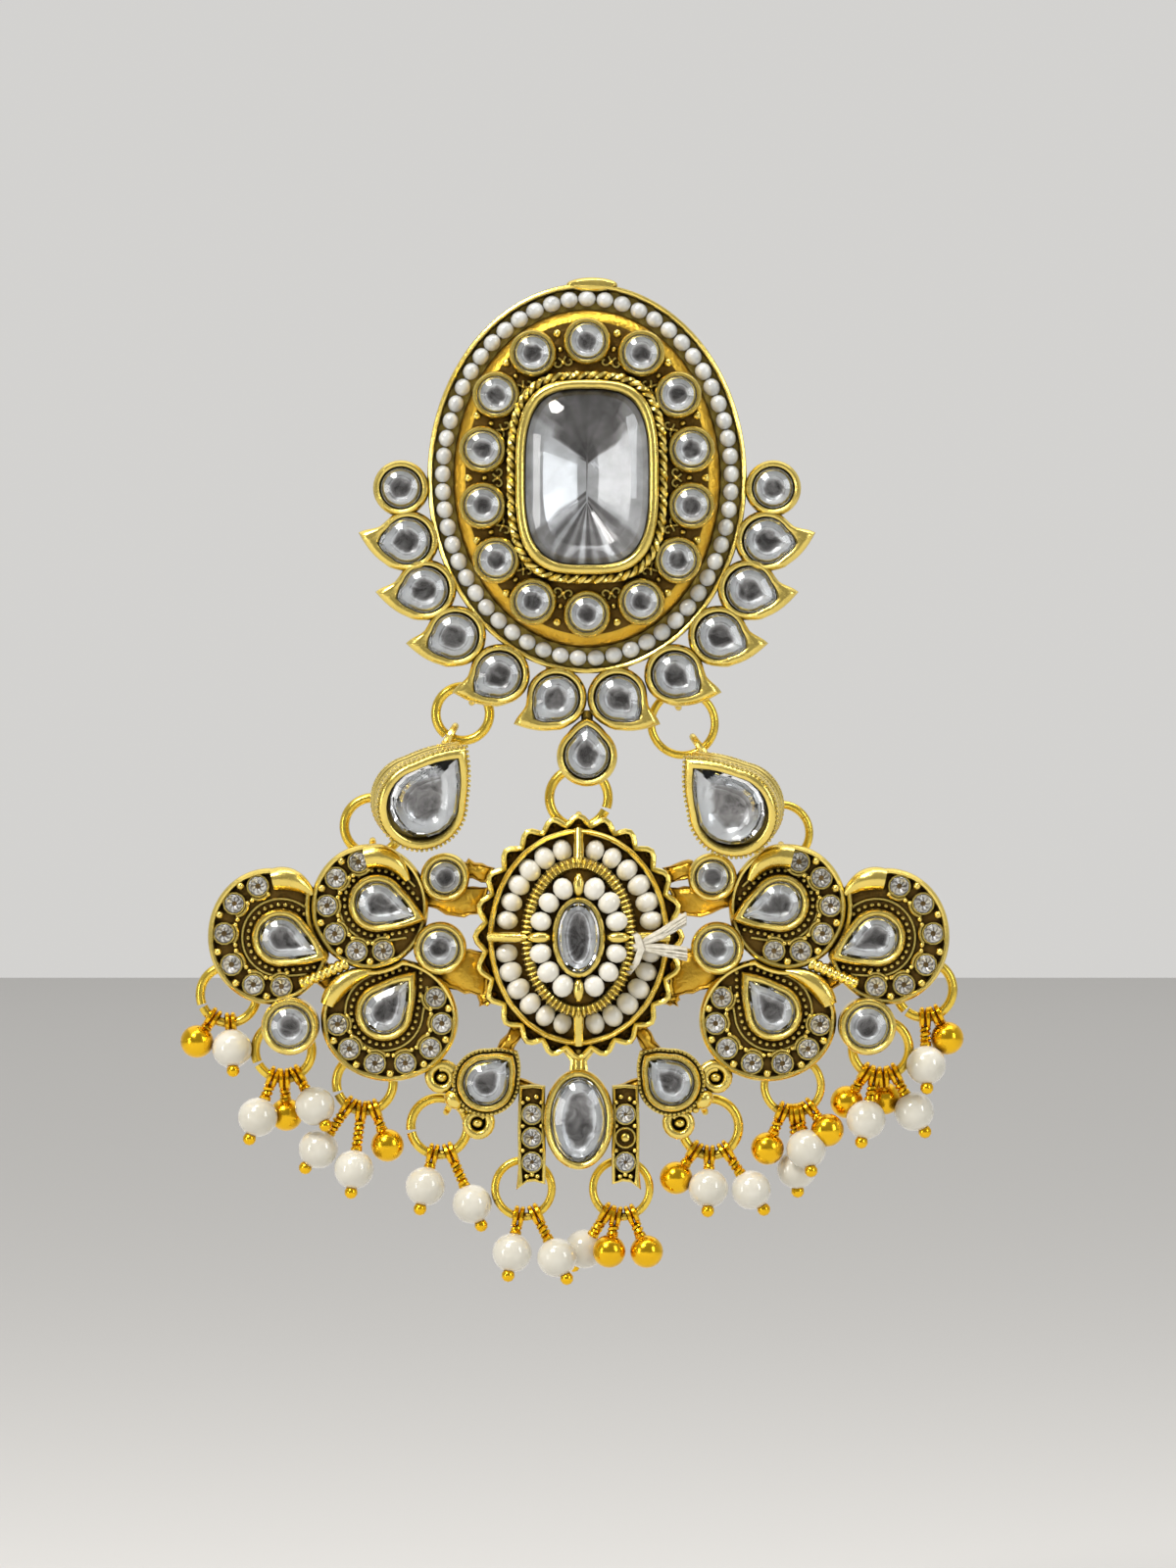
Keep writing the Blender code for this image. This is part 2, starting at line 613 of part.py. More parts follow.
def build_side_links():
    """Two deep teardrop settings, their stones, and the rings above and below them."""
    for word, side, link_share, turn, upper_share, upper_radius, _, lower_share, double in LINKS:
        centre = [share * SIDE_PIVOT_DROP for share in link_share]
        upper = [share * SIDE_PIVOT_DROP for share in upper_share]
        lower = [share * SIDE_PIVOT_DROP for share in lower_share]
        width = DOUBLE if double else 1.0
        matrix = link_matrix(side, centre, turn)
        outline = teardrop(LINK_HALF_WIDTH, LINK_HALF_LENGTH, 12)
        waist = inset(outline, LINK_RIM * 0.45)
        pieces = [
            stepped(waist, LINK_DEPTH * 0.1, ((0, LINK_DEPTH * 0.7),), matrix),
            stepped(outline, 0, ((0, LINK_DEPTH * 0.22),), matrix),
            stepped(outline, LINK_DEPTH * 0.36, ((0, LINK_DEPTH * 0.18),), matrix),
            setting(outline, LINK_DEPTH * 0.72, LINK_DEPTH, LINK_RIM, SEAT_DEPTH, matrix),
        ]
        toward_link = atan2(centre[1] - upper[1], centre[0] - upper[0])
        contact = ring_point(upper, upper_radius, toward_link, RING_DEPTH)
        root = matrix @ Vector((0, LINK_HALF_LENGTH * 0.55, LINK_DEPTH * 0.1))
        pieces += eye(contact, ring_tangent(toward_link), WIRE, root, 0, width)
        toward_link = atan2(centre[1] - lower[1], centre[0] - lower[0])
        contact = ring_point(lower, CLUSTER_RING_RADIUS, toward_link, LOWER_RING_DEPTH)
        root = matrix @ Vector((0, -LINK_HALF_LENGTH * 0.35, LINK_DEPTH * 0.1))
        pieces += eye(contact, ring_tangent(toward_link), WIRE, root, 0, width)
        node(f"link_setting_{word}", fuse(pieces), GOLD, LINK_AXIS, FROM_LINK_AXIS)
        stone = cut_stone(inset(outline, LINK_RIM + GAP), LINK_DEPTH - SEAT_DEPTH + GAP,
                          LINK_HALF_WIDTH * 0.3, LINK_HALF_WIDTH * 0.3)
        node(f"link_stone_{word}", stone, STONE, LINK_AXIS, FROM_LINK_AXIS @ matrix)
        ring = hoop((*upper, RING_DEPTH), upper_radius, WIRE, (0, 0, 1), 12, WIRE_SIDES, width)
        node(f"upper_ring_{word}", ring, GOLD, LINK_AXIS, FROM_LINK_AXIS)
        ring = hoop((*lower, LOWER_RING_DEPTH), CLUSTER_RING_RADIUS, WIRE, (0, 0, 1), 12, WIRE_SIDES, width)
        node(f"lower_ring_{word}", ring, GOLD, LINK_AXIS, FROM_LINK_AXIS)


def share(pair):
    """A place on the drop from shares of the medallion's half height."""
    return (pair[0] * MEDALLION_HALF_HEIGHT, pair[1] * MEDALLION_HALF_HEIGHT)


def make_medallion():
    """Toothed border, inner rim, floor of the bead row, ribbed ridge and the centre setting."""
    front = DROP_BACK + MEDALLION_RIM_HEIGHT
    rim = inset(oval(MEDALLION_HALF_WIDTH, MEDALLION_HALF_HEIGHT, OVAL_SIDES), TOOTH_DEPTH + WING_RIM)
    row = BEAD_ROW_DIAMETER + 2 * GAP
    floor = DROP_BACK + DROP_PLATE
    ridge_width = MEDALLION_HALF_WIDTH - RIDGE_SIDE_MARGIN
    ridge_height = MEDALLION_HALF_HEIGHT - RIDGE_END_MARGIN
    ridge = oval(ridge_width, ridge_height, 20)
    top = DROP_BACK + RIDGE_HEIGHT
    centre = oval(PAISLEY_STONE_WIDTH * 0.6, PAISLEY_STONE_LENGTH * 0.68, 12)
    pieces = [
        stepped(toothed(MEDALLION_HALF_WIDTH, MEDALLION_HALF_HEIGHT, TOOTH_DEPTH, TOOTH_COUNT), DROP_BACK,
                ((0, DROP_PLATE),)),
        stepped(rim, DROP_BACK + FUSE, ((0, front - DROP_BACK - FUSE), (WING_RIM, 0),
                                       (0, floor + FUSE / 4 - front), (row, 0))),
        stepped(ridge, floor, ((0, top - WING_RIM - floor), (WING_RIM, WING_RIM), (WING_RIM, -WING_RIM),
                               (0, -WING_RIM))),
        setting(centre, top - row, top + WING_RIM * 2, PETAL_RIM, SEAT_DEPTH, Matrix.Identity(4)),
    ]
    for angle in (0, pi / 2, pi, 3 * pi / 2):
        outer = on_oval(MEDALLION_HALF_WIDTH - TOOTH_DEPTH - WING_RIM * 1.6,
                        MEDALLION_HALF_HEIGHT - TOOTH_DEPTH - WING_RIM * 1.6, angle)
        near = on_oval(ridge_width - WING_RIM * 0.6, ridge_height - WING_RIM * 0.6, angle)
        pieces.append(rod((*outer, front - FUSE / 4), (*near, top - WING_RIM), GAP, 5))
    return pieces, top


def wing_settings(side):
    """Settings of one wing: name, outline, matrix, front."""
    made = []
    word = "left" if side < 0 else "right"
    for name, centre, _, offset, direction, _, _, _ in PAISLEYS:
        x, y = share((centre[0] + offset[0], centre[1] + offset[1]))
        outline = teardrop(PAISLEY_STONE_WIDTH / 2 + PETAL_RIM + GAP, PAISLEY_STONE_LENGTH / 2 + PETAL_RIM + GAP,
                           SETTING_SIDES)
        turn = side * radians(direction - 90)
        made.append((f"{name}_{word}", outline, at((side * x, y), turn), DROP_BACK + WING_SETTING_HEIGHT))
    for name, place, radius, height in ROUNDS:
        x, y = share(place)
        made.append((f"round_{name}_{word}", oval(radius, radius, SETTING_SIDES), at((side * x, y)), DROP_BACK + height))
    return made


def make_wing(side):
    """Three paisleys with rhinestone fields and leaves, and bars that join them to the medallion."""
    pieces = []
    ground = DROP_BACK + WING_BACK_TO_FRONT
    for index, (_, centre, half, _, _, field, leaf_place, leaf_turn) in enumerate(PAISLEYS):
        x, y = share(centre)
        half_width, half_height = share(half)
        back = DROP_BACK + index * FUSE / 4
        pieces.append(stepped(oval(half_width, half_height, 14), back,
                              ((0, ground - back), (WING_RIM, 0), (0, -WING_RIM * 1.2)), at((side * x, y))))
        first, last, count = field
        for step in range(count):
            angle = radians(first + (last - first) * step / (count - 1))
            spot = on_oval(half_width - WING_RIM - RHINESTONE_RADIUS * 1.15,
                           half_height - WING_RIM - RHINESTONE_RADIUS * 1.15, angle)
            pieces.append(make_rhinestone((side * (x + spot[0]), y + spot[1]), ground - WING_RIM * 1.2))
        leaf_x, leaf_y = share(leaf_place)
        outline = leaf(RHINESTONE_RADIUS, PAISLEY_STONE_WIDTH * 0.6, RHINESTONE_RADIUS * 0.8, 6)
        pieces.append(stepped(outline, ground - FUSE * 2, ((0, FUSE * 2.5), (WING_RIM * 0.9, WING_RIM)),
                              at((side * leaf_x, leaf_y), side * radians(leaf_turn))))
    for name, outline, matrix, front in wing_settings(side):
        foot = DROP_BACK + FUSE / 2 if name.startswith("round") else ground - FUSE * 2.5
        pieces.append(setting(outline, foot, front, PETAL_RIM, SEAT_DEPTH, matrix))
    middle = DROP_BACK + DROP_PLATE * 0.8
    for start, end, radius in (((0.75, 0.30), (1.45, 0.36), 0.75), ((0.75, -0.24), (1.30, -0.30), 0.75),
                               ((1.92, -0.38), (2.22, -0.20), 0.75)):
        first, second = share(start), share(end)
        pieces.append(rod((side * first[0], first[1], middle), (side * second[0], second[1], middle),
                          DROP_PLATE * radius * 0.7, 4))
    return pieces


def make_rhinestone(place, floor):
    """A small round stone with its facets and table, fused to the ground."""
    return stepped(oval(RHINESTONE_RADIUS, RHINESTONE_RADIUS, 8), floor - FUSE / 2,
                   ((RHINESTONE_RADIUS * 0.45, FUSE * 2),), at(place))


def bottom_settings():
    """The small teardrops and the oval under the medallion: name, outline, matrix, front."""
    made = []
    front = DROP_BACK + WING_SETTING_HEIGHT
    for side, word in ((-1, "left"), (1, "right")):
        outline = teardrop(*share(BOTTOM_TEARDROP), SETTING_SIDES)
        matrix = at(share((side * 0.718, -1.147)), side * radians(45))
        made.append((f"bottom_{word}", outline, matrix, front))
    outline = oval(*share(BOTTOM_OVAL), 12)
    made.append(("bottom_oval", outline, at(share((0, -1.472))), front + WING_RIM))
    return made


def make_bottom():
    """Bottom teardrops with scrolls, the oval setting, its two bars of small stones and their joining bars."""
    pieces = []
    back = DROP_BACK + FUSE / 2
    for _, outline, matrix, front in bottom_settings():
        pieces.append(setting(outline, back, front, PETAL_RIM, SEAT_DEPTH, matrix))
    middle = DROP_BACK + DROP_PLATE * 0.8
    level = DROP_BACK + WIRE
    scroll = SCROLL * MEDALLION_HALF_HEIGHT
    bar_top, bar_foot = share((0.377, -1.202)), share((0.377, -2.020))
    for side in (-1, 1):
        outline = [(-BAR_HALF_WIDTH, bar_foot[1]), (BAR_HALF_WIDTH, bar_foot[1] + FUSE),
                   (BAR_HALF_WIDTH, bar_top[1]), (-BAR_HALF_WIDTH, bar_top[1] - FUSE)]
        if side > 0:
            outline = [(-x, y) for x, y in reversed(outline)]
        pieces.append(stepped(outline, back, ((0, WING_BACK_TO_FRONT), (WING_RIM * 0.7, 0), (0, -WING_RIM)),
                              at((side * bar_top[0], 0))))
        for height in (-1.433, -1.623, -1.821):
            pieces.append(make_rhinestone(share((side * 0.377, height)), back + WING_BACK_TO_FRONT - WING_RIM))
        pieces.append(hoop((*share((side * 1.107, -1.139)), level), scroll, WIRE, (0, 0, 1), 8, 4))
        pieces.append(hoop((*share((side * 0.817, -1.510)), level), scroll, WIRE, (0, 0, 1), 8, 4))
        pieces.append(ball((*share((side * 1.016, -1.325)), level), WIRE, 6, 3))
        for start, end in (((0.46, -0.70), (0.66, -1.0)), ((0.30, -1.25), (0.60, -1.17))):
            first, second = share(start), share(end)
            pieces.append(rod((side * first[0], first[1], middle), (side * second[0], second[1], middle),
                              DROP_PLATE * 0.42, 4))
    neck_top, neck_low = share((0, -0.93)), share((0, -1.16))
    pieces.append(rod((*neck_top, middle), (*neck_low, middle), DROP_PLATE * 0.55, 6))
    return pieces


def make_drop_eyes():
    """Eyes at the back of the drop for the centre ring, the lower side rings and the ten clusters."""
    pieces = []
    to_drop = Vector((-DROP_SHIFT, MEDALLION_DROP, 0))
    contact = Vector(ring_point(CENTRE_RING_PLACE, CENTRE_RING_RADIUS, -pi / 2, RING_DEPTH)) + to_drop
    root = (contact.x, contact.y - DROP_PLATE, DROP_BACK + FUSE)
    pieces += eye(contact, ring_tangent(-pi / 2), WIRE, root)
    for _, side, _, _, _, _, _, lower_share, double in LINKS:
        centre = (lower_share[0] * SIDE_PIVOT_DROP, lower_share[1] * SIDE_PIVOT_DROP)
        contact = Vector(ring_point(centre, CLUSTER_RING_RADIUS, -pi / 2, LOWER_RING_DEPTH)) + to_drop
        contact.y -= GAP
        root = (contact.x, contact.y - DROP_PLATE * 1.5, DROP_BACK + FUSE)
        pieces += eye(contact, ring_tangent(-pi / 2), WIRE, root, GAP * 1.5, DOUBLE if double else 1)
    for _, place, root_share, double, _ in CLUSTERS:
        contact, angle = cluster_contact(place, root_share)
        root = (*share(root_share), DROP_BACK + FUSE)
        pieces += eye(contact, ring_tangent(angle), WIRE, root, 0, DOUBLE if double else 1)
    return pieces


def cluster_contact(place, root_share):
    """Where a cluster's ring passes its eye: on the side of the ring that faces the eye's root."""
    centre, root = share(place), share(root_share)
    angle = atan2(root[1] - centre[1], root[0] - centre[0])
    return ring_point(centre, CLUSTER_RING_RADIUS, angle, RING_DEPTH), angle


def build_drop():
    medallion, top = make_medallion()
    frame = fuse([*medallion, *make_wing(-1), *make_wing(1), *make_bottom(), *make_drop_eyes()])
    node("drop_frame", frame, GOLD, DROP, FROM_DROP_AXIS)
    bead_level = DROP_BACK + DROP_PLATE + FUSE / 4 + GAP + BEAD_ROW_DIAMETER / 2
    inner_rim = TOOTH_DEPTH + 2 * WING_RIM
    outline = oval(MEDALLION_HALF_WIDTH, MEDALLION_HALF_HEIGHT, OVAL_SIDES)
    outline = inset(outline, inner_rim + GAP + BEAD_ROW_DIAMETER / 2)
    node("medallion_outer_beads", band(outline, bead_level, BEAD_ROW_DIAMETER), PEARL, DROP, FROM_DROP_AXIS)
    settings = [*wing_settings(-1), *wing_settings(1), *bottom_settings()]
    centre = oval(PAISLEY_STONE_WIDTH * 0.6, PAISLEY_STONE_LENGTH * 0.68, 12)
    settings.append(("medallion", centre, Matrix.Identity(4), top + WING_RIM * 2))
    for name, outline, matrix, front in settings:
        stone = cut_stone(inset(outline, PETAL_RIM + GAP), 0, PETAL_HALF_WIDTH * 0.28, GAP * 4)
        node(f"drop_stone_{name}", stone, STONE, DROP,
             FROM_DROP_AXIS @ matrix @ Matrix.Translation((0, 0, front - SEAT_DEPTH + GAP)))
    ring = hoop((0, -CENTRE_RING_RADIUS, 0), CENTRE_RING_RADIUS, WIRE, (0, 0, 1), 12, WIRE_SIDES)
    node("centre_ring", ring, GOLD, DROP)


def build_clusters():
    """Jump rings with their pearls and gold beads on short headed wires."""
    for name, place, _, double, drops in CLUSTERS:
        centre = share(place)
        pieces = [hoop((*centre, RING_DEPTH), CLUSTER_RING_RADIUS, WIRE, (0, 0, 1), 10, 5, DOUBLE if double else 1)]
        for kind, angle, reach, depth in drops:
            turn = radians(angle) - pi / 2
            outward = Vector((cos(turn), sin(turn), 0))
            level = RING_DEPTH + depth * PEARL_RADIUS
            on_ring = Vector((*centre, RING_DEPTH)) + outward * CLUSTER_RING_RADIUS
            bead = Vector((*centre, level)) + outward * CLUSTER_RING_RADIUS * reach
            radius = PEARL_RADIUS if kind == "pearl" else GOLD_BEAD_RADIUS
            pieces.append(ball(bead, radius, 10, 4, turn + pi / 10))
            pieces.append(rod(on_ring, bead, WIRE * 0.42, 4))
        node(f"cluster_{name}", fuse(pieces), BRIGHT_GOLD, DROP, FROM_DROP_AXIS)


build_crest()
build_hair_pin()
build_side_links()
build_drop()
build_clusters()
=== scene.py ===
"""Hair bun brooch: the metalwork, stones, pearls and wires of an oval crest and the wide drop that hangs under it.

Each piece is shaped lying face up on a bench, in millimetres: x to the right, y up the piece, z towards its front.
"""
from bisect import bisect_left
from math import acos, atan2, cos, pi, radians, sin

import bmesh
import bpy
from mathutils import Matrix, Vector


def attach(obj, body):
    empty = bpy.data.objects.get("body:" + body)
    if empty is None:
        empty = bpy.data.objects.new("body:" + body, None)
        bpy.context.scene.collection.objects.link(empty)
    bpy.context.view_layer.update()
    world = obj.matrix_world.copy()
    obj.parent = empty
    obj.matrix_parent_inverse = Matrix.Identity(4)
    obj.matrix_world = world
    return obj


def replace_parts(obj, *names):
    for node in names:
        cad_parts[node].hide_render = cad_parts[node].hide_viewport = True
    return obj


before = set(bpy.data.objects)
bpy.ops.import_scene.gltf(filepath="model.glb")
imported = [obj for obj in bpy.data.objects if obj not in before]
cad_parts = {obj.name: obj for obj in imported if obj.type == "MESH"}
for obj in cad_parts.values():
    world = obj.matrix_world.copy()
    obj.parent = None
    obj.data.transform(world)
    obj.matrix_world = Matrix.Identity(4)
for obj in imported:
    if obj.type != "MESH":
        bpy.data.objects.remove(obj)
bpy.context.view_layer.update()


# Studio: a pale table and a soft grey room. A large lamp stands high on the left, a smaller one on the right, and
# two strips beside the lens give the polished rims their long highlights.
VIEW_HEIGHT = 0.160
VIEW_DISTANCE = 0.80
VIEW_CENTRE = Vector((0.0001, 0.0, -0.0311))
camera_data = bpy.data.cameras.new("camera")
camera_data.sensor_width = 36
camera_data.lens = 36 * VIEW_DISTANCE / VIEW_HEIGHT
camera_data.clip_end = 20
camera = bpy.data.objects.new("camera", camera_data)
camera.location = VIEW_CENTRE - Vector((0, VIEW_DISTANCE, 0))
camera.rotation_euler = (pi / 2, 0, 0)
bpy.context.scene.collection.objects.link(camera)
bpy.context.scene.camera = camera


def lamp(name, place, aim, size, power, colour):
    data = bpy.data.lights.new(name, "AREA")
    data.shape = "RECTANGLE"
    data.size, data.size_y = size
    data.energy = power
    data.color = colour
    light = bpy.data.objects.new(name, data)
    light.location = place
    light.rotation_euler = (Vector(aim) - Vector(place)).to_track_quat("-Z", "Y").to_euler()
    bpy.context.scene.collection.objects.link(light)


AIM = (0, 0, -0.03)
lamp("key_lamp", (-0.30, -0.46, 0.50), AIM, (0.20, 0.20), 4.0, (1.0, 0.97, 0.93))
lamp("fill_lamp", (0.52, -0.42, 0.16), AIM, (0.12, 0.34), 0.9, (0.95, 0.98, 1.0))
lamp("left_strip", (-0.45, -0.30, -0.12), AIM, (0.06, 0.50), 0.8, (1.0, 0.98, 0.95))
lamp("top_strip", (0.05, -0.10, 0.45), AIM, (0.50, 0.10), 1.0, (1.0, 1.0, 1.0))
lamp("low_strip", (0.10, -0.55, -0.34), AIM, (0.40, 0.06), 0.35, (1.0, 0.96, 0.90))
lamp("ceiling", (0.0, 1.2, 2.6), (0.0, 1.2, 0.0), (4.5, 4.5), 36.0, (1.0, 1.0, 1.0))


def feed(tree, sockets, values):
    """Gives each input its value, or links it to the socket that feeds it."""
    for name, value in values.items():
        if isinstance(value, bpy.types.NodeSocket):
            tree.links.new(value, sockets[name])
        else:
            sockets[name].default_value = value


def node(tree, kind, values, **settings):
    """Adds a shader node and feeds its inputs."""
    made = tree.nodes.new(f"ShaderNode{kind}")
    for name, value in settings.items():
        setattr(made, name, value)
    feed(tree, made.inputs, values)
    return made


def calc(tree, operation, *terms, clamp=False):
    return node(tree, "Math", dict(enumerate(terms)), operation=operation, use_clamp=clamp).outputs[0]


def ramp(tree, value, *stops):
    """Colours at given places on a scale from 0 to 1."""
    scale = node(tree, "ValToRGB", {"Fac": value})
    first, last = scale.color_ramp.elements
    first.position, first.color = stops[0]
    last.position, last.color = stops[-1]
    for position, colour in stops[1:-1]:
        scale.color_ramp.elements.new(position).color = colour
    return scale.outputs["Color"]


def plain(name):
    """A new material, with its tree and its shader's inputs."""
    made = bpy.data.materials.new(name)
    made.use_nodes = True
    return made, made.node_tree, made.node_tree.nodes["Principled BSDF"].inputs


world = bpy.data.worlds.new("room")
bpy.context.scene.world = world
world.use_nodes = True
room = world.node_tree
height = node(room, "SeparateXYZ", {0: node(room, "TexCoord", {}).outputs["Generated"]}).outputs["Y"]
walls = ramp(room, calc(room, "MULTIPLY_ADD", height, 0.5, 0.5),
             (0.18, (0.42, 0.415, 0.40, 1)), (0.88, (0.86, 0.85, 0.83, 1)))
feed(room, room.nodes["Background"].inputs, {"Color": walls, "Strength": 0.76})
bpy.context.scene.view_settings.view_transform = "Standard"

FLOOR_LEVEL = -0.125
table_shape = bmesh.new()
bmesh.ops.create_grid(table_shape, x_segments=1, y_segments=1, size=3.0)
bmesh.ops.translate(table_shape, verts=table_shape.verts, vec=(0, 0, FLOOR_LEVEL))
table_mesh = bpy.data.meshes.new("table")
table_shape.to_mesh(table_mesh)
table_shape.free()
table = bpy.data.objects.new("table", table_mesh)
bpy.context.scene.collection.objects.link(table)
table_paint, paint_tree, paint = plain("table_paint")
feed(paint_tree, paint, {"Base Color": (0.60, 0.59, 0.575, 1), "Roughness": 0.9})
table_mesh.materials.append(table_paint)


# Crest plate: a cast oval of gilt brass with a slight peak at its head. A thin rim stands round a gutter, and a
# polished wall slopes up from the gutter to a dark, oxidised ground that carries the collets and the main stone.
MM = 0.001
CREST_BENCH = Matrix.Rotation(pi / 2, 4, "X") @ Matrix.Diagonal((MM, MM, MM, 1))
CREST_HALF = (16.25, 19.85)
PEAK_HALF, PEAK_PLACE = (2.6, 0.75), (0.5, 19.7)
GUTTER_FLOOR = 1.2
GROUND = 3.6


def clouds(tree, scale, detail=2.0, distortion=0.0):
    """Soft noise that lies still on the piece."""
    place = node(tree, "TexCoord", {}).outputs["Object"]
    return node(tree, "TexNoise", {"Vector": place, "Scale": scale, "Detail": detail,
                                   "Distortion": distortion}).outputs["Fac"]


def ranged(tree, value, given=(0.0, 1.0), wanted=(0.0, 1.0)):
    """Stretches one range of values over another."""
    return node(tree, "MapRange", {"Value": value, "From Min": given[0], "From Max": given[1],
                                   "To Min": wanted[0], "To Max": wanted[1]}).outputs[0]


def mixed(tree, share, first, second):
    return node(tree, "Mix", {"Factor": share, "A": first, "B": second}, data_type="RGBA").outputs["Result"]


def bumped(tree, height, strength, distance):
    return node(tree, "Bump", {"Height": height, "Strength": strength, "Distance": distance}).outputs["Normal"]


def make_aged_metal():
    """Dark oxide in the recesses, clean metal on the edges, fine hammer marks and hairline scratches."""
    group = bpy.data.node_groups.new("aged_metal", "ShaderNodeTree")
    socket = group.interface.new_socket
    for name, kind, value in (("Metal", "Color", (0.9, 0.7, 0.2, 1)), ("Oxide", "Color", (0.05, 0.03, 0.01, 1)),
                              ("Oxide Amount", "Float", 1.0), ("Polish", "Float", 0.2), ("Grain", "Float", 0.2)):
        socket(name=name, in_out="INPUT", socket_type=f"NodeSocket{kind}").default_value = value
    for name, kind in (("Color", "Color"), ("Roughness", "Float"), ("Normal", "Vector")):
        socket(name=name, in_out="OUTPUT", socket_type=f"NodeSocket{kind}")
    given = group.nodes.new("NodeGroupInput").outputs
    cloud, grain = clouds(group, 420, 4), clouds(group, 2600, 3)
    recess = node(group, "AmbientOcclusion", {"Distance": 0.0008}, samples=6).outputs["AO"]
    clean = calc(group, "MULTIPLY", ranged(group, recess, (0.25, 0.76)),
                 ranged(group, cloud, (0.35, 0.65), (0.86, 1.05)))
    amount = calc(group, "MULTIPLY", calc(group, "SUBTRACT", 1.0, clean), given["Oxide Amount"], clamp=True)
    rough = calc(group, "MULTIPLY_ADD", amount, 0.34, given["Polish"])
    feed(group, group.nodes.new("NodeGroupOutput").inputs,
         {"Color": mixed(group, amount, given["Metal"], given["Oxide"]),
          "Roughness": calc(group, "MULTIPLY_ADD", grain, 0.16, rough, clamp=True),
          "Normal": bumped(group, calc(group, "ADD", cloud, grain), given["Grain"], 0.00012)})
    return group


AGED_METAL = make_aged_metal()


def metal(name, colour, oxide, amount, polish, grain):
    made, tree, shader = plain(name)
    age = node(tree, "Group", {"Metal": (*colour, 1), "Oxide": (*oxide, 1), "Oxide Amount": amount,
                               "Polish": polish, "Grain": grain}, node_tree=AGED_METAL).outputs
    feed(tree, shader, {"Metallic": 1.0, "Base Color": age["Color"], "Roughness": age["Roughness"],
                        "Normal": age["Normal"]})
    return made


ANTIQUE_GOLD = metal("antique_gold", (0.90, 0.70, 0.18), (0.040, 0.020, 0.005), 1.0, 0.14, 0.22)
OXIDISED_GROUND = metal("oxidised_ground", (0.16, 0.095, 0.022), (0.014, 0.007, 0.003), 1.2, 0.30, 1.0)
AMBER_GOLD = metal("amber_gold", (0.70, 0.43, 0.05), (0.07, 0.028, 0.004), 1.1, 0.22, 1.0)


def oval(half_width, half_height, count=48, power=2.0):
    """An oval outline: what it returns gives the ring that lies an inset inside it."""
    def ring(inset):
        points = []
        for step in range(count):
            across, up = cos(2 * pi * step / count), sin(2 * pi * step / count)
            size = (abs(across) ** power + abs(up) ** power) ** (-1 / power)
            points.append(Vector(((half_width - inset) * across * size, (half_height - inset) * up * size)))
        return points
    return ring


def kept(shape, place):
    """Turns a shape's faces outwards and keeps it as a mesh at its place on the bench."""
    bmesh.ops.recalc_face_normals(shape, faces=shape.faces)
    mesh = bpy.data.meshes.new("part")
    shape.to_mesh(mesh)
    shape.free()
    mesh.transform(place)
    return mesh


def raised(ring, profile, place=Matrix(), layer=0):
    """A solid whose outline rises through a profile of insets and heights; a third value there is its painted shade
    or painted reflection, kept on the mesh for the stones' foils.
    """
    shape = bmesh.new()
    corner_number = shape.verts.layers.int.new("corner")
    # This layer keeps the painted light of the foils: how bright their painted reflection or how dark their painted
    # shade is.
    painted_shading_layer = shape.verts.layers.float.new("painted_shading")
    inset, level, *painted_shading_values = profile[0]
    corners = [shape.verts.new((*point, level)) for point in ring(inset)]
    for number, corner in enumerate(corners):
        corner[corner_number] = number
        corner[painted_shading_layer] = painted_shading_values[number % len(painted_shading_values)] if painted_shading_values else 1.0
    edges = list(shape.faces.new(corners).edges)
    for inset, level, *painted_shading_values in profile[1:]:
        points = ring(inset)
        lifted = bmesh.ops.extrude_edge_only(shape, edges=edges)["geom"]
        edges = [item for item in lifted if isinstance(item, bmesh.types.BMEdge)]
        for corner in lifted:
            if isinstance(corner, bmesh.types.BMVert):
                corner.co = (*points[corner[corner_number]], level)
                corner[painted_shading_layer] = painted_shading_values[corner[corner_number] % len(painted_shading_values)] if painted_shading_values else 1.0
    bmesh.ops.edgeloop_fill(shape, edges=edges)
    for face in shape.faces:
        face.material_index = layer
    return kept(shape, place)


def cast(name, parts, metals, body, bench=CREST_BENCH, sharp=38):
    """Joins parts to one piece, stands it upright, and hangs it on its body."""
    shape = bmesh.new()
    for part in parts:
        shape.from_mesh(part)
        bpy.data.meshes.remove(part)
    for face in shape.faces:
        face.smooth = True
    for edge in shape.edges:
        edge.smooth = edge.calc_face_angle(0.0) < radians(sharp)
    mesh = bpy.data.meshes.new(name)
    shape.to_mesh(mesh)
    shape.free()
    mesh.transform(bench)
    for layer in metals:
        mesh.materials.append(layer)
    piece = bpy.data.objects.new(name, mesh)
    bpy.context.scene.collection.objects.link(piece)
    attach(piece, body)
    return piece


crest_oval = oval(*CREST_HALF, 96)
plate = raised(crest_oval, ((0.25, 0.0), (0.0, 0.25), (0.0, 2.55), (0.10, 2.78), (0.26, 2.86), (0.42, 2.78),
                            (0.52, 2.55), (0.60, GUTTER_FLOOR), (2.6, GUTTER_FLOOR)))
peak = raised(oval(*PEAK_HALF, 32), ((0.2, 0.3), (0.0, 0.6), (0.0, 2.3), (0.15, 2.7), (0.35, 2.84)),
              Matrix.Translation((*PEAK_PLACE, 0)))
crest_plate = cast("crest_plate", [plate, peak], [ANTIQUE_GOLD], "crest")
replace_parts(crest_plate, "crest_frame")
wall = raised(crest_oval, ((2.55, 1.0), (2.60, GUTTER_FLOOR), (2.75, 2.5), (2.95, 3.0), (3.45, 3.38),
                           (3.80, GROUND - 0.02), (4.05, GROUND)))
cast("crest_sloping_wall", [wall], [AMBER_GOLD], "crest")
ground = raised(crest_oval, ((3.86, 3.0), (3.90, GROUND + 0.06), (4.2, GROUND + 0.08)))
cast("crest_ground", [ground], [OXIDISED_GROUND], "crest")


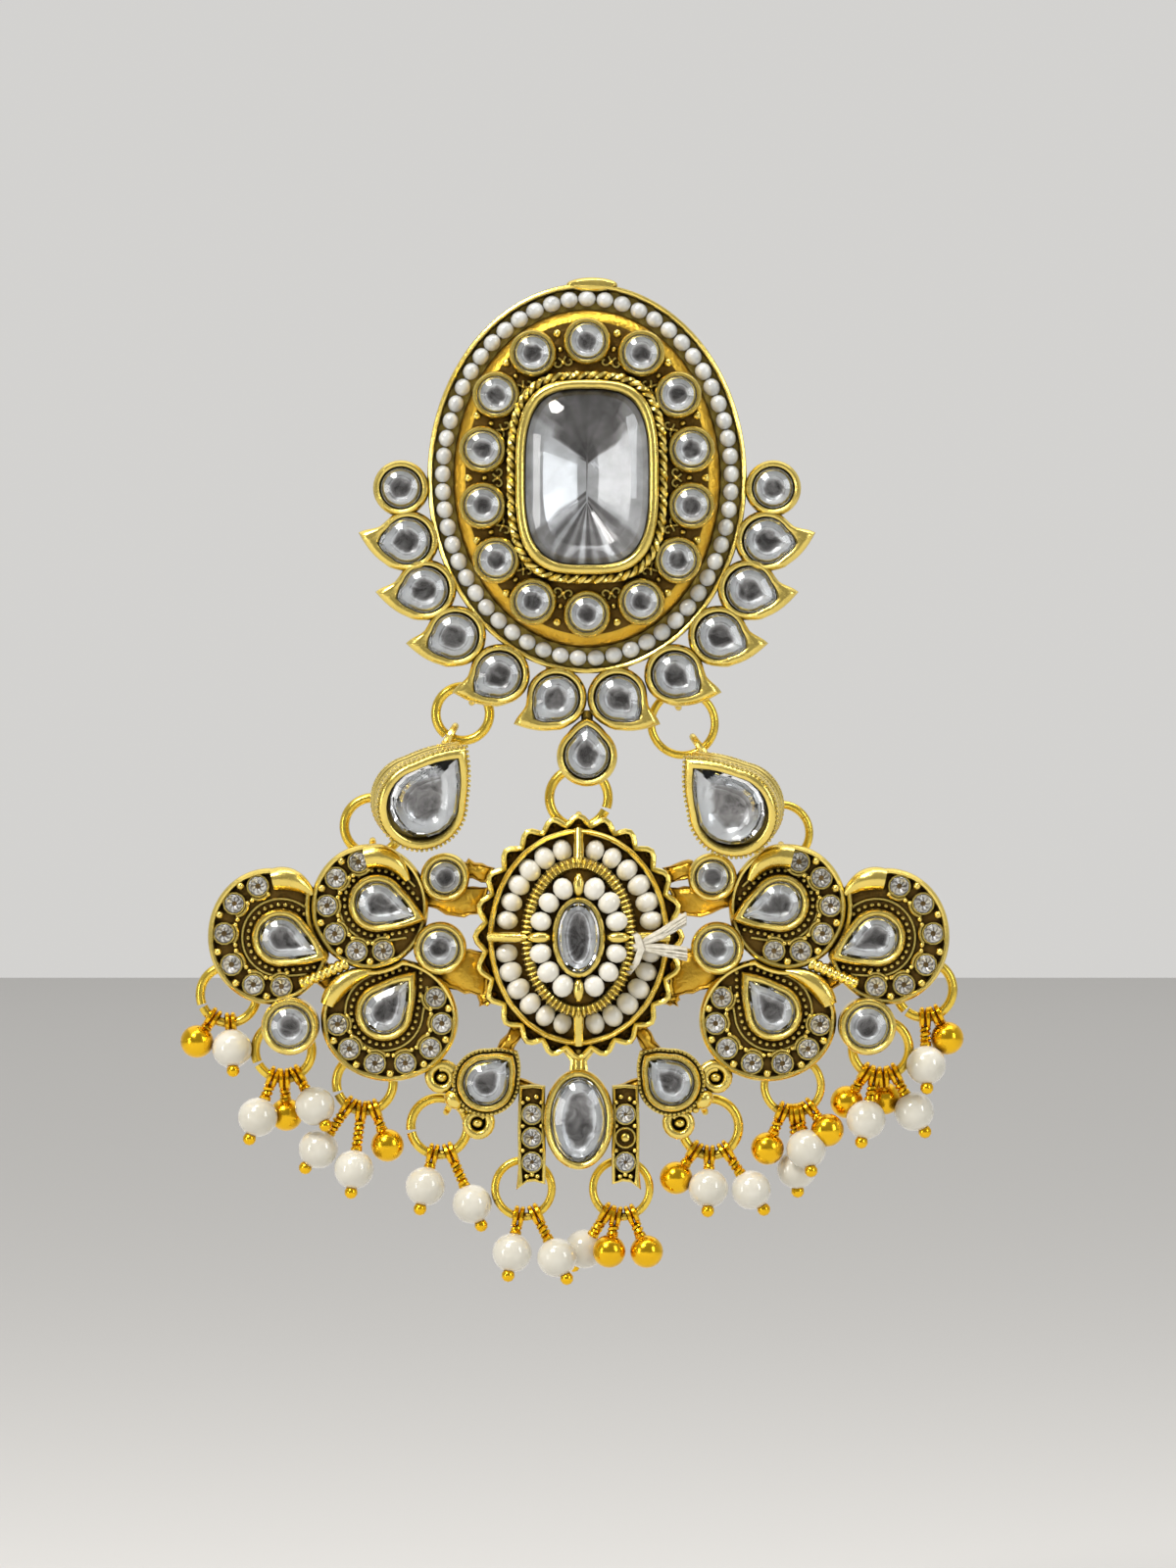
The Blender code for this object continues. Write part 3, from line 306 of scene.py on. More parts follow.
# Pearl border: seed pearls strung on a thread and laid in the gutter. They are drilled glass with a silvery lustre,
# close to one size, and each is a little off true.
PEARL_COUNT = 57
PEARL_RADIUS = 0.92
PEARL_LINE = 1.54


def spaced(points, count, start=0.0):
    """Evenly spaced places along a closed line, each with the line's direction there."""
    loop = [*points, points[0]]
    lengths = [0.0]
    for first, second in zip(loop, loop[1:]):
        lengths.append(lengths[-1] + (second - first).length)
    places = []
    for step in range(count):
        goal = lengths[-1] * ((start + step / count) % 1.0)
        index = max(1, bisect_left(lengths, goal))
        first, second = loop[index - 1], loop[index]
        part = (goal - lengths[index - 1]) / (lengths[index] - lengths[index - 1])
        places.append((first.lerp(second, part), (second - first).normalized()))
    return places


def ball(centre, radius, around=12, levels=8, stretch=(1, 1, 1), turn=0.0, layer=0):
    shape = bmesh.new()
    bmesh.ops.create_uvsphere(shape, u_segments=around, v_segments=levels, radius=radius)
    for face in shape.faces:
        face.material_index = layer
    size = Matrix.Diagonal((*stretch, 1))
    return kept(shape, Matrix.Translation(centre) @ Matrix.Rotation(turn, 4, "Z") @ size)


def lustre(name, colour, tint, roughness, coat, scale):
    """Pearl and bead glaze: a tint that clouds over the colour, and a thin clear coat."""
    made, tree, shader = plain(name)
    cloud = clouds(tree, scale, 3)
    feed(tree, shader, {"Base Color": mixed(tree, ranged(tree, cloud, (0.35, 0.75)), (*colour, 1), (*tint, 1)),
                        "Roughness": ranged(tree, cloud, wanted=(roughness * 0.7, roughness * 1.3)),
                        "Normal": bumped(tree, cloud, 0.12, 0.00008), "Coat Weight": coat, "Coat Roughness": 0.08})
    return made


SILVER_PEARL = lustre("silver_pearl", (0.64, 0.655, 0.65), (0.42, 0.43, 0.43), 0.16, 1.0, 900)
pearls = []
for number, (spot, along) in enumerate(spaced(crest_oval(PEARL_LINE), PEARL_COUNT, 0.25)):
    wobble = sin(number * 12.9898) * 0.5
    radius = PEARL_RADIUS * (1 + 0.05 * wobble)
    pearls.append(ball((spot.x * (1 + 0.004 * wobble), spot.y, GUTTER_FLOOR + radius * 0.96), radius, 14, 9,
                       (1, 0.93, 0.96), atan2(along.y, along.x)))
pearl_border = cast("crest_pearl_border", pearls, [SILVER_PEARL], "crest")
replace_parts(pearl_border, "crest_pearl_row")


# Collets: fourteen round cups of rolled sheet, soldered side by side on the ground, their lips rubbed over the
# stones. Small cast scrolls and grains fill the dark ground between them and the rope.
COLLET_COUNT = 14
COLLET_RADIUS = 2.40
COLLET_STONE = 1.90
COLLET_SEAT = 4.34
COLLET_TOP = 5.0


def shifted(x, y, turn=0.0, z=0.0):
    return Matrix.Translation((x, y, z)) @ Matrix.Rotation(turn, 4, "Z")


def wires(paths, radius, sides=8, closed=False, widths=None, layer=0):
    """Round wire drawn along one or more paths; a width for each point makes it taper."""
    curve = bpy.data.curves.new("wire", "CURVE")
    curve.dimensions = "3D"
    curve.bevel_depth = radius
    curve.bevel_resolution = (sides - 4) // 2
    curve.use_fill_caps = not closed
    for path in paths:
        spline = curve.splines.new("POLY")
        spline.points.add(len(path) - 1)
        for number, (point, place) in enumerate(zip(spline.points, path)):
            point.co = (*place, 1)
            point.radius = widths[number] if widths else 1.0
        spline.use_cyclic_u = closed
    guide = bpy.data.objects.new("wire", curve)
    mesh = bpy.data.meshes.new_from_object(guide)
    bpy.data.objects.remove(guide)
    bpy.data.curves.remove(curve)
    shape = bmesh.new()
    shape.from_mesh(mesh)
    bpy.data.meshes.remove(mesh)
    bmesh.ops.remove_doubles(shape, verts=shape.verts, dist=0.002)
    for face in shape.faces:
        face.material_index = layer
    return kept(shape, Matrix())


def round_path(centre, radius, count=20, start=0.0, end=2 * pi, across=(1, 0, 0), up=(0, 1, 0)):
    """Points on a circle or an arc of it, in the plane of two directions."""
    across, up = Vector(across), Vector(up)
    whole = abs(end - start) > 2 * pi - 0.001
    steps = count if whole else count - 1
    angles = [start + (end - start) * step / steps for step in range(count)]
    return [Vector(centre) + across * radius * cos(angle) + up * radius * sin(angle) for angle in angles]


CUP_LIP = ((0.30, 3.2), (0.05, 3.7), (0.0, 4.1), (0.0, 4.62), (0.06, 4.86), (0.18, COLLET_TOP), (0.34, COLLET_TOP),
           (0.46, 4.88), (0.52, 4.62), (0.54, 3.6))
collet_line = [spot for spot, _ in spaced(oval(10.70, 13.85, 180, 2.4)(0), COLLET_COUNT, 0.25)]
cups = [raised(oval(COLLET_RADIUS, COLLET_RADIUS, 28), CUP_LIP, shifted(*spot)) for spot in collet_line]
cast("crest_collets", cups, [ANTIQUE_GOLD], "crest")

scrolls = []
for number, spot in enumerate(collet_line):
    after = collet_line[(number + 1) % len(collet_line)]
    middle = (spot + after) / 2
    outward = middle.normalized()
    beside = Vector((-outward.y, outward.x))
    inner = middle - outward * 1.55
    for side in (-1, 1):
        heart = inner + beside * side * 0.62
        turn = atan2(outward.y, outward.x)
        curl = [(*(heart + Vector((cos(angle), sin(angle))) * (0.60 - 0.05 * step)), GROUND + 0.22)
                for step in range(10) for angle in (turn - side * (0.4 + step * 0.62),)]
        scrolls.append(wires([curl], 0.14, 6))
    scrolls += [ball((*inner, GROUND + 0.25), 0.26, 8, 5),
                ball((*(middle + outward * 1.45), GROUND + 0.10), 0.42, 8, 5, (1, 1, 0.8)),
                ball((*(middle - outward * 0.2), GROUND + 0.15), 0.30, 8, 5)]
cast("crest_ground_scrolls", scrolls, [ANTIQUE_GOLD], "crest")


# Main setting: a tall smooth bezel for the cushion stone, with a rope of two twisted wires laid round its foot.
MAIN_HALF = (6.2, 8.8)
MAIN_FACETS = 96
BEZEL_TOP = 6.6
ROPE_LEVEL = 5.05


def rope(points, level, strand, spread, pitch, turns_on=0.0):
    """Two strands wound round each other along a closed line."""
    length = sum((second - first).length for first, second in zip(points, [*points[1:], points[0]]))
    twists = round(length / (2 * pitch))
    steps = twists * 12
    paths = []
    for strand_number in (0, 1):
        path = []
        for number, (spot, along) in enumerate(spaced(points, steps)):
            angle = 2 * pi * twists * number / steps + pi * strand_number + turns_on
            outward = Vector((along.y, -along.x))
            path.append((*(spot + outward * spread * cos(angle)), level + spread * sin(angle)))
        paths.append(path)
    return wires(paths, strand, 6, closed=True)


main_oval = oval(*MAIN_HALF, MAIN_FACETS, 3.2)
seat_wall = raised(main_oval, ((-1.95, 3.3), (-1.90, 4.45), (-1.75, 4.6), (-1.0, 4.62), (-0.9, 3.5)))
bezel = raised(main_oval, ((-1.10, 3.4), (-1.06, 5.9), (-1.02, 6.25), (-0.88, 6.50), (-0.66, BEZEL_TOP),
                           (-0.42, BEZEL_TOP), (-0.22, 6.45), (-0.12, 6.2), (-0.06, 5.75), (-0.02, 3.75)))
cast("main_bezel", [seat_wall, bezel], [ANTIQUE_GOLD], "crest")
cast("main_rope", [rope(main_oval(-1.50), ROPE_LEVEL, 0.27, 0.24, 0.90)], [ANTIQUE_GOLD], "crest")


# Stones: clear glass with a polished foil cup behind each one. The cup's colour is painted light: a white ring of
# painted reflection on its slopes, and painted shade on its floor that shows dark through the table.
def make_painted_light_foil(name, metallic, painted_streak_strength, distortion):
    """Crumpled foil whose colour is painted light: each facet's painted shade or painted reflection comes from the
    mesh, and painted reflection streaks from the crumple run over it; the crumple also sets its roughness and bumps.
    """
    made, tree, shader = plain(name)
    painted_shading = node(tree, "Attribute", {}, attribute_name="painted_shading").outputs["Fac"]
    crumple_and_painted_streaks = clouds(tree, 650, 4, distortion)
    # The foil's colour is painted light: the mesh's painted shade plus painted reflection streaks from the crumple
    # noise.
    total = calc(tree, "ADD", painted_shading, ranged(tree, crumple_and_painted_streaks, (0.32, 0.68), (-painted_streak_strength, painted_streak_strength)), clamp=True)
    tone = ramp(tree, total, (0.0, (0.040, 0.034, 0.032, 1)), (0.42, (0.30, 0.285, 0.28, 1)),
                (0.85, (0.95, 0.96, 0.97, 1)))
    feed(tree, shader, {"Metallic": metallic, "Base Color": tone,
                        "Roughness": ranged(tree, crumple_and_painted_streaks, wanted=(0.12, 0.34)),
                        "Normal": bumped(tree, crumple_and_painted_streaks, 0.35, 0.00015)})
    return made


def make_glass():
    made, tree, shader = plain("clear_glass")
    cloud = clouds(tree, 500)
    feed(tree, shader, {"Transmission Weight": 1.0, "IOR": 1.5, "Roughness": ranged(tree, cloud, wanted=(0.0, 0.05)),
                        "Base Color": mixed(tree, cloud, (0.98, 0.99, 1.0, 1), (0.93, 0.95, 0.97, 1))})
    return made


# The small stones' foil carries painted light: painted reflection and painted shade in its colour.
SILVER_FOIL_PAINTED_LIGHT = make_painted_light_foil("silver_foil_painted_light", 0.42, 0.24, 1.4)
CLEAR_GLASS = make_glass()
STONE_LAYERS = [CLEAR_GLASS, SILVER_FOIL_PAINTED_LIGHT]


def foiled_stone(ring, half_width, seat, place, painted_centre_shade=0.12, height=1.0):
    """One stone: a glass body with a crown and a table, and the foil cup under it, painted with a white ring of
    reflected light and painted dark shade at its centre.
    """
    unit = half_width / 2.25
    glass = raised(ring, ((1.50 * unit, seat - 0.34 * unit), (1.10 * unit, seat - 0.28 * unit),
                          (0.45 * unit, seat + 0.02), (0.03, seat + 0.34 * unit), (0.03, seat + 0.50 * unit),
                          (0.34 * unit, seat + (0.60 + 0.20 * height) * unit),
                          (0.95 * unit, seat + (0.60 + 0.50 * height) * unit)), place, 0)
    # The foil's third values are painted light: white painted reflection on the cup's slopes, painted shade at its
    # centre.
    foil = raised(ring, ((0.0, seat - 0.62 * unit), (0.0, seat + 0.32 * unit, 1.0),
                         (0.42 * unit, seat - 0.03 * unit, 1.0), (0.90 * unit, seat - 0.24 * unit, 1.0),
                         (1.22 * unit, seat - 0.35 * unit, painted_centre_shade + 0.32),
                         (1.55 * unit, seat - 0.40 * unit, painted_centre_shade)), place, 1)
    return [glass, foil]


stones = []
for spot in collet_line:
    stones += foiled_stone(oval(COLLET_STONE, COLLET_STONE, 24), COLLET_STONE, COLLET_SEAT, shifted(*spot))
cast("crest_collet_stones", stones, STONE_LAYERS, "crest", sharp=14)


# Main stone: a cushion cut of clear glass. Under its table the pavilion falls to a point, and its foil is painted
# with light and shade: painted shadow on the facets at its head and foot, painted reflection on those at its sides,
# and narrow facets between them break the line.
GIRDLE_LEVEL = 6.05
TABLE_LEVEL = 7.45
CULET_LEVEL = 3.95


def painted_bow_tie(reach):
    """How bright each pavilion facet's foil is painted at a given reach from the culet: painted shadow at head and
    foot, painted reflection at the sides.
    """
    painted_shading_values = []
    for step in range(MAIN_FACETS):
        angle = 2 * pi * (step + 0.5) / MAIN_FACETS
        across, up = MAIN_HALF[0] * reach * abs(cos(angle)), MAIN_HALF[1] * reach * abs(sin(angle))
        in_wedge = across < min(2.9, up + 0.05)
        if in_wedge and sin(angle) > 0:
            painted_shading = 0.05 + 0.05 * (step // 3 % 2)
        elif in_wedge:
            painted_shading = (0.12, 0.45, 0.22, 0.60)[step // 2 % 4]
        elif up > across * 1.15:
            painted_shading = 0.46
        else:
            painted_shading = 0.66 + 0.03 * (step // 4 % 2)
        painted_shading_values.append(painted_shading)
    return painted_shading_values


MAIN_FOIL_PAINTED_LIGHT = make_painted_light_foil("main_foil_painted_light", 0.25, 0.08, 0.3)
glass = raised(main_oval, ((5.2, CULET_LEVEL + 0.50), (0.02, GIRDLE_LEVEL - 0.16), (0.02, GIRDLE_LEVEL + 0.10),
                           (0.55, GIRDLE_LEVEL + 0.75), (1.35, GIRDLE_LEVEL + 1.22), (1.75, TABLE_LEVEL)))
# The foil's rings carry painted shade and painted reflection in a bow-tie: dark at head and foot, pale at the sides.
pavilion = [(0.0, 3.62)]
for inset in (0.0, 1.2, 2.2, 3.2, 4.2, 5.2, 6.1):
    reach = 1 - inset / MAIN_HALF[0]
    pavilion.append((inset, CULET_LEVEL + (GIRDLE_LEVEL - 0.15 - CULET_LEVEL) * reach, *painted_bow_tie(max(reach, 0.05))))
foil = raised(main_oval, pavilion, layer=1)
main_stone = cast("main_cushion_stone", [glass, foil], [CLEAR_GLASS, MAIN_FOIL_PAINTED_LIGHT], "crest", sharp=9)
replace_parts(main_stone, "crest_main_stone")


# Hair pin: two gilt prongs on a pad behind the crest. The photograph doesn't show it, so it keeps the plain shape of
# its solid and gets a metal alone, warmer and less aged than the castings.
PIN_BRASS = metal("gilt_pin_brass", (0.86, 0.60, 0.13), (0.07, 0.04, 0.01), 1.0, 0.10, 0.3)
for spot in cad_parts["hair_pin"].material_slots:
    spot.material = PIN_BRASS


# Fringe: ten leaf settings that curl over to a polished hook, a round one at each end and a drop at the foot. Each
# lip is rubbed over its stone, and short bars solder them to the crest's rim.
PETAL_HALF = (3.1, 3.5)
PETALS = ((-16.6, 7.7), (-30.6, 7.8), (-45.7, 16), (-62.3, 21), (-80.3, 31))
FRINGE_BACK, FRINGE_SEAT, FRINGE_TOP = 0.9, 2.42, 3.2


def teardrop(half_width, half_length, count=40):
    """A pear outline with its tip up; insets shrink it about the middle of its round end."""
    centre = half_width - half_length
    reach = half_length - centre
    shoulder = acos(half_width / reach)

    def ring(inset):
        size = (half_width - inset) / half_width
        points = []
        flank = 6
        for step in range(flank):
            along = step / flank
            tip, touch = Vector((0, reach)), Vector((-half_width * sin(shoulder), half_width * cos(shoulder)))
            bow = Vector((-sin(shoulder), cos(shoulder))) * 0.18 * sin(pi * along)
            points.append(tip.lerp(touch, along) + bow * half_width / 3)
        arc = count - 2 * flank
        for step in range(arc + 1):
            angle = pi / 2 + shoulder + (2 * pi - 2 * shoulder) * step / arc
            points.append(Vector((half_width * cos(angle), half_width * sin(angle))))
        for step in range(flank - 1, 0, -1):
            mirrored = points[step]
            points.append(Vector((-mirrored.x, mirrored.y)))
        return [Vector((point.x * size, centre + point.y * size)) for point in points]
    return ring


def hooked(half_width, half_length, side, lip):
    """A leaf outline whose tip curls to one side; its lip's inner edge is a plain pear."""
    pear = teardrop(half_width, half_length)

    def ring(inset):
        outer, inner = pear(0.0), pear(lip)
        share = inset / lip
        points = []
        for near, far in zip(outer, inner):
            rise = max(0.0, (near.y - half_length * 0.30) / (half_length * 0.70))
            lean = Vector((-side * half_width * 0.44 * rise ** 2.2, half_length * 0.30 * rise ** 1.6))
            belly = Vector((side * half_width * 0.10 * rise * (1 - rise) * 4, 0))
            points.append((near + lean + belly).lerp(far, share))
        return points
    return ring


def fringe_spot(rim_angle, clearance):
    """A place outside the crest's rim, and the direction that it faces."""
    angle = radians(rim_angle)
    normal = atan2(sin(angle) / CREST_HALF[1], cos(angle) / CREST_HALF[0])
    return (CREST_HALF[0] * cos(angle) + clearance * cos(normal),
            CREST_HALF[1] * sin(angle) + clearance * sin(normal)), normal


LIP = ((0.10, FRINGE_BACK), (0.0, FRINGE_BACK + 0.15), (0.0, 2.55), (0.08, 2.92), (0.26, 3.16), (0.44, FRINGE_TOP),
       (0.62, 3.08), (0.70, 2.75), (0.72, 1.50))
settings, stones, names = [], [], []
for side, word in ((-1, "left"), (1, "right")):
    (x, y), _ = fringe_spot(-2.6, 2.70)
    spot = shifted(side * x, y)
    settings.append(raised(oval(2.85, 2.85, 32), LIP, spot))
    stones += foiled_stone(oval(2.02, 2.02, 24), 2.05, FRINGE_SEAT, spot)
    names.append(f"fringe_stone_{word}_round")
    for number, (rim_angle, lean) in enumerate(PETALS, 1):
        (x, y), normal = fringe_spot(rim_angle, PETAL_HALF[0])
        spot = shifted(side * x, y, side * (normal + radians(lean) - pi / 2))
        settings.append(raised(hooked(*PETAL_HALF, side, 0.72), LIP, spot))
        stones += foiled_stone(teardrop(2.30, 2.60, 32), 2.25, FRINGE_SEAT, spot)
        names.append(f"fringe_stone_{word}_{number}")
        bar_from = Vector((side * x, y, 1.6))
        inward = Vector((-side * cos(normal), -sin(normal), 0))
        settings.append(wires([[bar_from + inward * 2.4, bar_from + inward * 3.5]], 0.55, 8))
spot = shifted(0, -27.825)
settings.append(raised(teardrop(3.1, 3.55), LIP, spot))
settings.append(wires([[(0, -24.9, 1.6), (0, -23.6, 1.6)]], 0.6, 8))
stones += foiled_stone(teardrop(2.25, 2.65, 32), 2.25, FRINGE_SEAT, spot)
names.append("fringe_stone_bottom")
cast("fringe_settings", settings, [ANTIQUE_GOLD], "crest")
fringe_stones = cast("fringe_stones", stones, STONE_LAYERS, "crest", sharp=14)
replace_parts(fringe_stones, *names)


# Rings: jump rings of round gilt wire at the back, cut and closed; the ones on the right are wound twice. Eyes of
# thinner wire hold them to the crest, to the side links and to the drop.
RING_LEVEL = -0.65
LOWER_RING_LEVEL = -1.15
CENTRE_RING_RADIUS = 3.0
LOWER_RING_RADIUS = 2.9
RING_WIRE = 0.5
EYE_WIRE = 0.36
BRIGHT_GOLD = metal("bright_gold", (0.92, 0.54, 0.02), (0.16, 0.06, 0.005), 0.7, 0.10, 0.12)
RING_GOLD = metal("ring_gold", (0.88, 0.63, 0.09), (0.09, 0.045, 0.008), 0.9, 0.12, 0.12)


def jump_ring(centre, radius, level, double, split=0.0, layer=0):
    """A ring with its cut ends almost touching, or two turns of wire side by side."""
    if not double:
        gap = 0.05
        path = round_path((*centre, level), radius, 40, split + gap, split + 2 * pi - gap)
        return [wires([path], RING_WIRE, 10, layer=layer)]
    path = []
    for step in range(74):
        angle = split + 4 * pi * step / 73 - 0.03
        path.append((centre[0] + radius * cos(angle), centre[1] + radius * sin(angle),
                     level - 0.36 + 0.72 * step / 73))
    return [wires([path], RING_WIRE * 0.84, 10, layer=layer)]


def eye_loop(centre, radius, level, angle, root, double=False, slack=0.0):
    """An eye round a ring's wire at one angle, with its stem back to the piece that it belongs to."""
    contact = Vector((centre[0] + radius * cos(angle), centre[1] + radius * sin(angle), level))
    size = (RING_WIRE * (1.5 if double else 1.0) + 0.3) / cos(pi / 6) + EYE_WIRE + slack
    outward = Vector((cos(angle), sin(angle), 0))
    loop = wires([round_path(contact, size, 20, across=outward, up=(0, 0, 1))], EYE_WIRE, 8, closed=True)
    aim = Vector(root) - contact
    along = Vector((-sin(angle), cos(angle), 0))
    aim -= along * aim.dot(along)
    start = contact + aim.normalized() * size
    return [loop, wires([[start, start.lerp(Vector(root), 0.5), Vector(root)]], EYE_WIRE * 1.25, 8)]


# Each row has the link's side, place and turn, the upper ring's place and radius and the angle of its eye, the lower
# ring's place, and whether the rings are wound twice. Places are shares of the side drop.
SIDE_DROP = 21.77
SIDE_LINKS = (
    ("left", -1, (-0.781, -1.437), -37, (-0.583, -1.098), 2.75, 50.7, (-1.006, -1.626), False),
    ("right", 1, (0.686, -1.470), 41, (0.450, -1.144), 3.25, 105.6, (0.910, -1.658), True),
)
crest_eyes = []
for word, side, _, _, upper, radius, angle, _, double in SIDE_LINKS:
    centre = (upper[0] * SIDE_DROP, upper[1] * SIDE_DROP)
    angle = radians(angle)
    contact = (centre[0] + radius * cos(angle), centre[1] + radius * sin(angle))
    crest_eyes += eye_loop(centre, radius, RING_LEVEL, angle,
                           (contact[0] - side * 0.775, contact[1] + 1.86, FRINGE_BACK + 0.4), double)
    upper_ring = cast(f"upper_jump_ring_{word}", jump_ring(centre, radius, RING_LEVEL, double, -2.2), [RING_GOLD],
                      "side_links")
    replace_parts(upper_ring, f"upper_ring_{word}")
CENTRE_RING = (-0.85, -32.5)
crest_eyes += eye_loop(CENTRE_RING, CENTRE_RING_RADIUS, RING_LEVEL, pi / 2, (-0.85, -27.64, FRINGE_BACK + 0.4))
cast("crest_ring_eyes", crest_eyes, [RING_GOLD], "crest")
centre_ring = cast("centre_jump_ring", jump_ring(CENTRE_RING, CENTRE_RING_RADIUS, RING_LEVEL, False, -0.4),
                   [RING_GOLD], "drop")
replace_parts(centre_ring, "centre_ring")


# Side links: deep pear settings built up from stacked ridged walls with beaded edges. They lean outwards, so their
# outer walls show, and each holds a large pear stone.
LINK_BACK = 1.9
LINK_DEPTH = 5.4
LINK_HALF = (4.6, 6.0)
LINK_LEAN = 17
LINK_PROFILE = (
    (0.85, 0.0), (0.42, 0.12), (0.20, 0.40), (0.16, 0.80), (0.42, 0.95), (0.42, 1.30), (0.10, 1.42), (0.0, 1.75),
    (0.10, 2.08), (0.42, 2.20), (0.42, 2.50), (0.10, 2.62), (0.0, 2.90), (0.08, 3.20), (0.34, 3.35), (0.34, 3.60),
    (0.04, 3.72), (0.0, 4.05), (0.0, 4.75), (0.10, 5.10), (0.32, 5.34), (0.58, LINK_DEPTH), (0.82, 5.30),
    (0.98, 5.00), (1.0, 3.3))
BEADED_EDGES = ((3.48, 0.14, 0.20), (4.98, -0.04, 0.19), (1.12, 0.18, 0.18))
link_pear = teardrop(*LINK_HALF, 56)
for word, side, place, turn, upper, upper_radius, _, lower, double in SIDE_LINKS:
    centre, above, below = [[share * SIDE_DROP for share in spot] for spot in (place, upper, lower)]
    lean = shifted(*centre, radians(turn), LINK_BACK) @ Matrix.Rotation(-side * radians(LINK_LEAN), 4, "Y")
    parts = [raised(link_pear, LINK_PROFILE, lean)]
    for level, inset, size in BEADED_EDGES:
        for spot, _ in spaced(link_pear(inset), 64):
            parts.append(ball(lean @ Vector((*spot, level)), size, 6, 4))
    for ring_centre, ring_radius, level, reach in ((above, upper_radius, RING_LEVEL, 0.55),
                                                   (below, LOWER_RING_RADIUS, LOWER_RING_LEVEL, -0.35)):
        angle = atan2(centre[1] - ring_centre[1], centre[0] - ring_centre[0])
        root = lean @ Vector((0, reach * LINK_HALF[1], 0.6))
        parts += eye_loop(ring_centre, ring_radius, level, angle, root, double)
    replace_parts(cast(f"side_link_{word}", parts, [ANTIQUE_GOLD], "side_links"), f"link_setting_{word}")
    stone = foiled_stone(teardrop(3.55, 4.60, 24), 3.4, 4.45, lean, 0.20)
    stone = cast(f"side_link_stone_{word}", stone, STONE_LAYERS, "side_links", sharp=12)
    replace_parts(stone, f"link_stone_{word}")
    lower_ring = jump_ring(below, LOWER_RING_RADIUS, LOWER_RING_LEVEL, double, 0.6)
    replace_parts(cast(f"lower_jump_ring_{word}", lower_ring, [RING_GOLD], "side_links"), f"lower_ring_{word}")


# Medallion: a cast plate with a zigzag edge, a rim, and a fluted ridge on which the centre setting stands. Four short
# bars cross its gutter, and four drop-shaped prongs lean against the setting.
MEDALLION_AT = (-0.85, -46.65)
DROP_BENCH = Matrix.Translation((MEDALLION_AT[0] * MM, 0, MEDALLION_AT[1] * MM)) @ CREST_BENCH
MEDALLION_HALF = (10.8, 12.6)
TEETH = 24
TOOTH_DEPTH = 1.1
ROW_FLOOR = 1.45
RIM_TOP = 3.75
RIDGE_HALF = (5.5, 7.8)
SETTING_HALF = (2.70, 4.10)
BAR_LINE = ((9.1, 10.9, 3.25), (8.3, 10.1, 3.62), (6.6, 8.7, 4.30), (5.2, 7.4, 4.75))


def toothed(half_width, half_height, depth, teeth):
    """An oval edged with rounded teeth."""
    swell = (0.0, 0.36, 0.80, 1.0, 0.80, 0.36)

    def ring(inset):
        points = []
        for step in range(teeth * 6):
            angle = 2 * pi * (step - 3) / (teeth * 6) + pi / 2
            reach = inset + depth * (1 - swell[step % 6]) * max(0.0, 1 - inset / 2.4)
            points.append(Vector(((half_width - reach) * cos(angle), (half_height - reach) * sin(angle))))
        return points
    return ring


tooth_line = toothed(*MEDALLION_HALF, TOOTH_DEPTH, TEETH)
edge = raised(tooth_line, ((0.08, 0.15), (0.0, 0.30), (0.0, 1.85), (0.06, 2.20), (0.25, 2.40), (0.48, 2.26),
                           (0.58, 1.85), (0.62, 0.85), (2.2, 0.80)))
rim = raised(oval(9.2, 11.0, 96), ((0.0, 0.5), (0.0, 3.35), (0.08, 3.62), (0.26, RIM_TOP), (0.46, 3.62),
                                   (0.56, 3.35), (0.60, ROW_FLOOR), (3.6, ROW_FLOOR)))
ridge = raised(oval(*RIDGE_HALF, 72), ((-0.35, 1.2), (-0.30, 3.2), (0.0, 4.4), (0.12, 4.85), (0.35, 5.10),
                                       (0.75, 5.05), (0.95, 4.70), (1.0, 4.30), (3.0, 4.30)))
recess = raised(tooth_line, ((0.59, 0.5), (0.61, 0.90), (1.9, 0.92)), layer=1)
gutter = raised(oval(8.62, 10.42, 96), ((0.0, 1.2), (0.02, ROW_FLOOR + 0.06)), layer=1)
shelf = raised(oval(4.52, 6.82, 72), ((0.0, 4.1), (0.02, 4.36)), layer=1)
zigzag = wires([[(*point, 2.38) for point in tooth_line(0.31)]], 0.31, 8, closed=True, layer=2)
setting = raised(oval(*SETTING_HALF, 48), ((0.0, 4.2), (0.0, 5.9), (0.06, 6.15), (0.20, 6.33), (0.40, 6.35),
                                           (0.54, 6.15), (0.58, 5.8), (0.60, 4.4)))
pieces = [edge, rim, ridge, recess, gutter, shelf, zigzag, setting]
for step in range(TEETH):
    angle = 2 * pi * (step + 0.5) / TEETH + pi / 2 - pi / TEETH
    pieces.append(ball((10.0 * cos(angle), 11.8 * sin(angle), 0.85), 0.42, 4, 3, (1, 1, 1.1), angle))
for spot, along in spaced(oval(5.25, 7.50, 96)(0), 76):
    pieces.append(ball((*spot, 4.98), 0.25, 6, 5, (0.84, 3.0, 1.9), atan2(along.y, along.x), 2))
for angle in (0, pi / 2, pi, 3 * pi / 2):
    across, up = cos(angle), sin(angle)
    pieces.append(wires([[(wide * across, high * up, level) for wide, high, level in BAR_LINE]], 0.52, 10))
    pieces.append(ball((3.95 * across, 5.30 * up, 5.55), 0.58, 10, 8, (2.2, 1.0, 1.05), angle))
RUBBED_GOLD = metal("rubbed_gold", (0.92, 0.72, 0.17), (0.12, 0.06, 0.012), 0.6, 0.15, 0.2)
medallion = cast("medallion_plate", pieces, [ANTIQUE_GOLD, OXIDISED_GROUND, RUBBED_GOLD], "drop", DROP_BENCH)
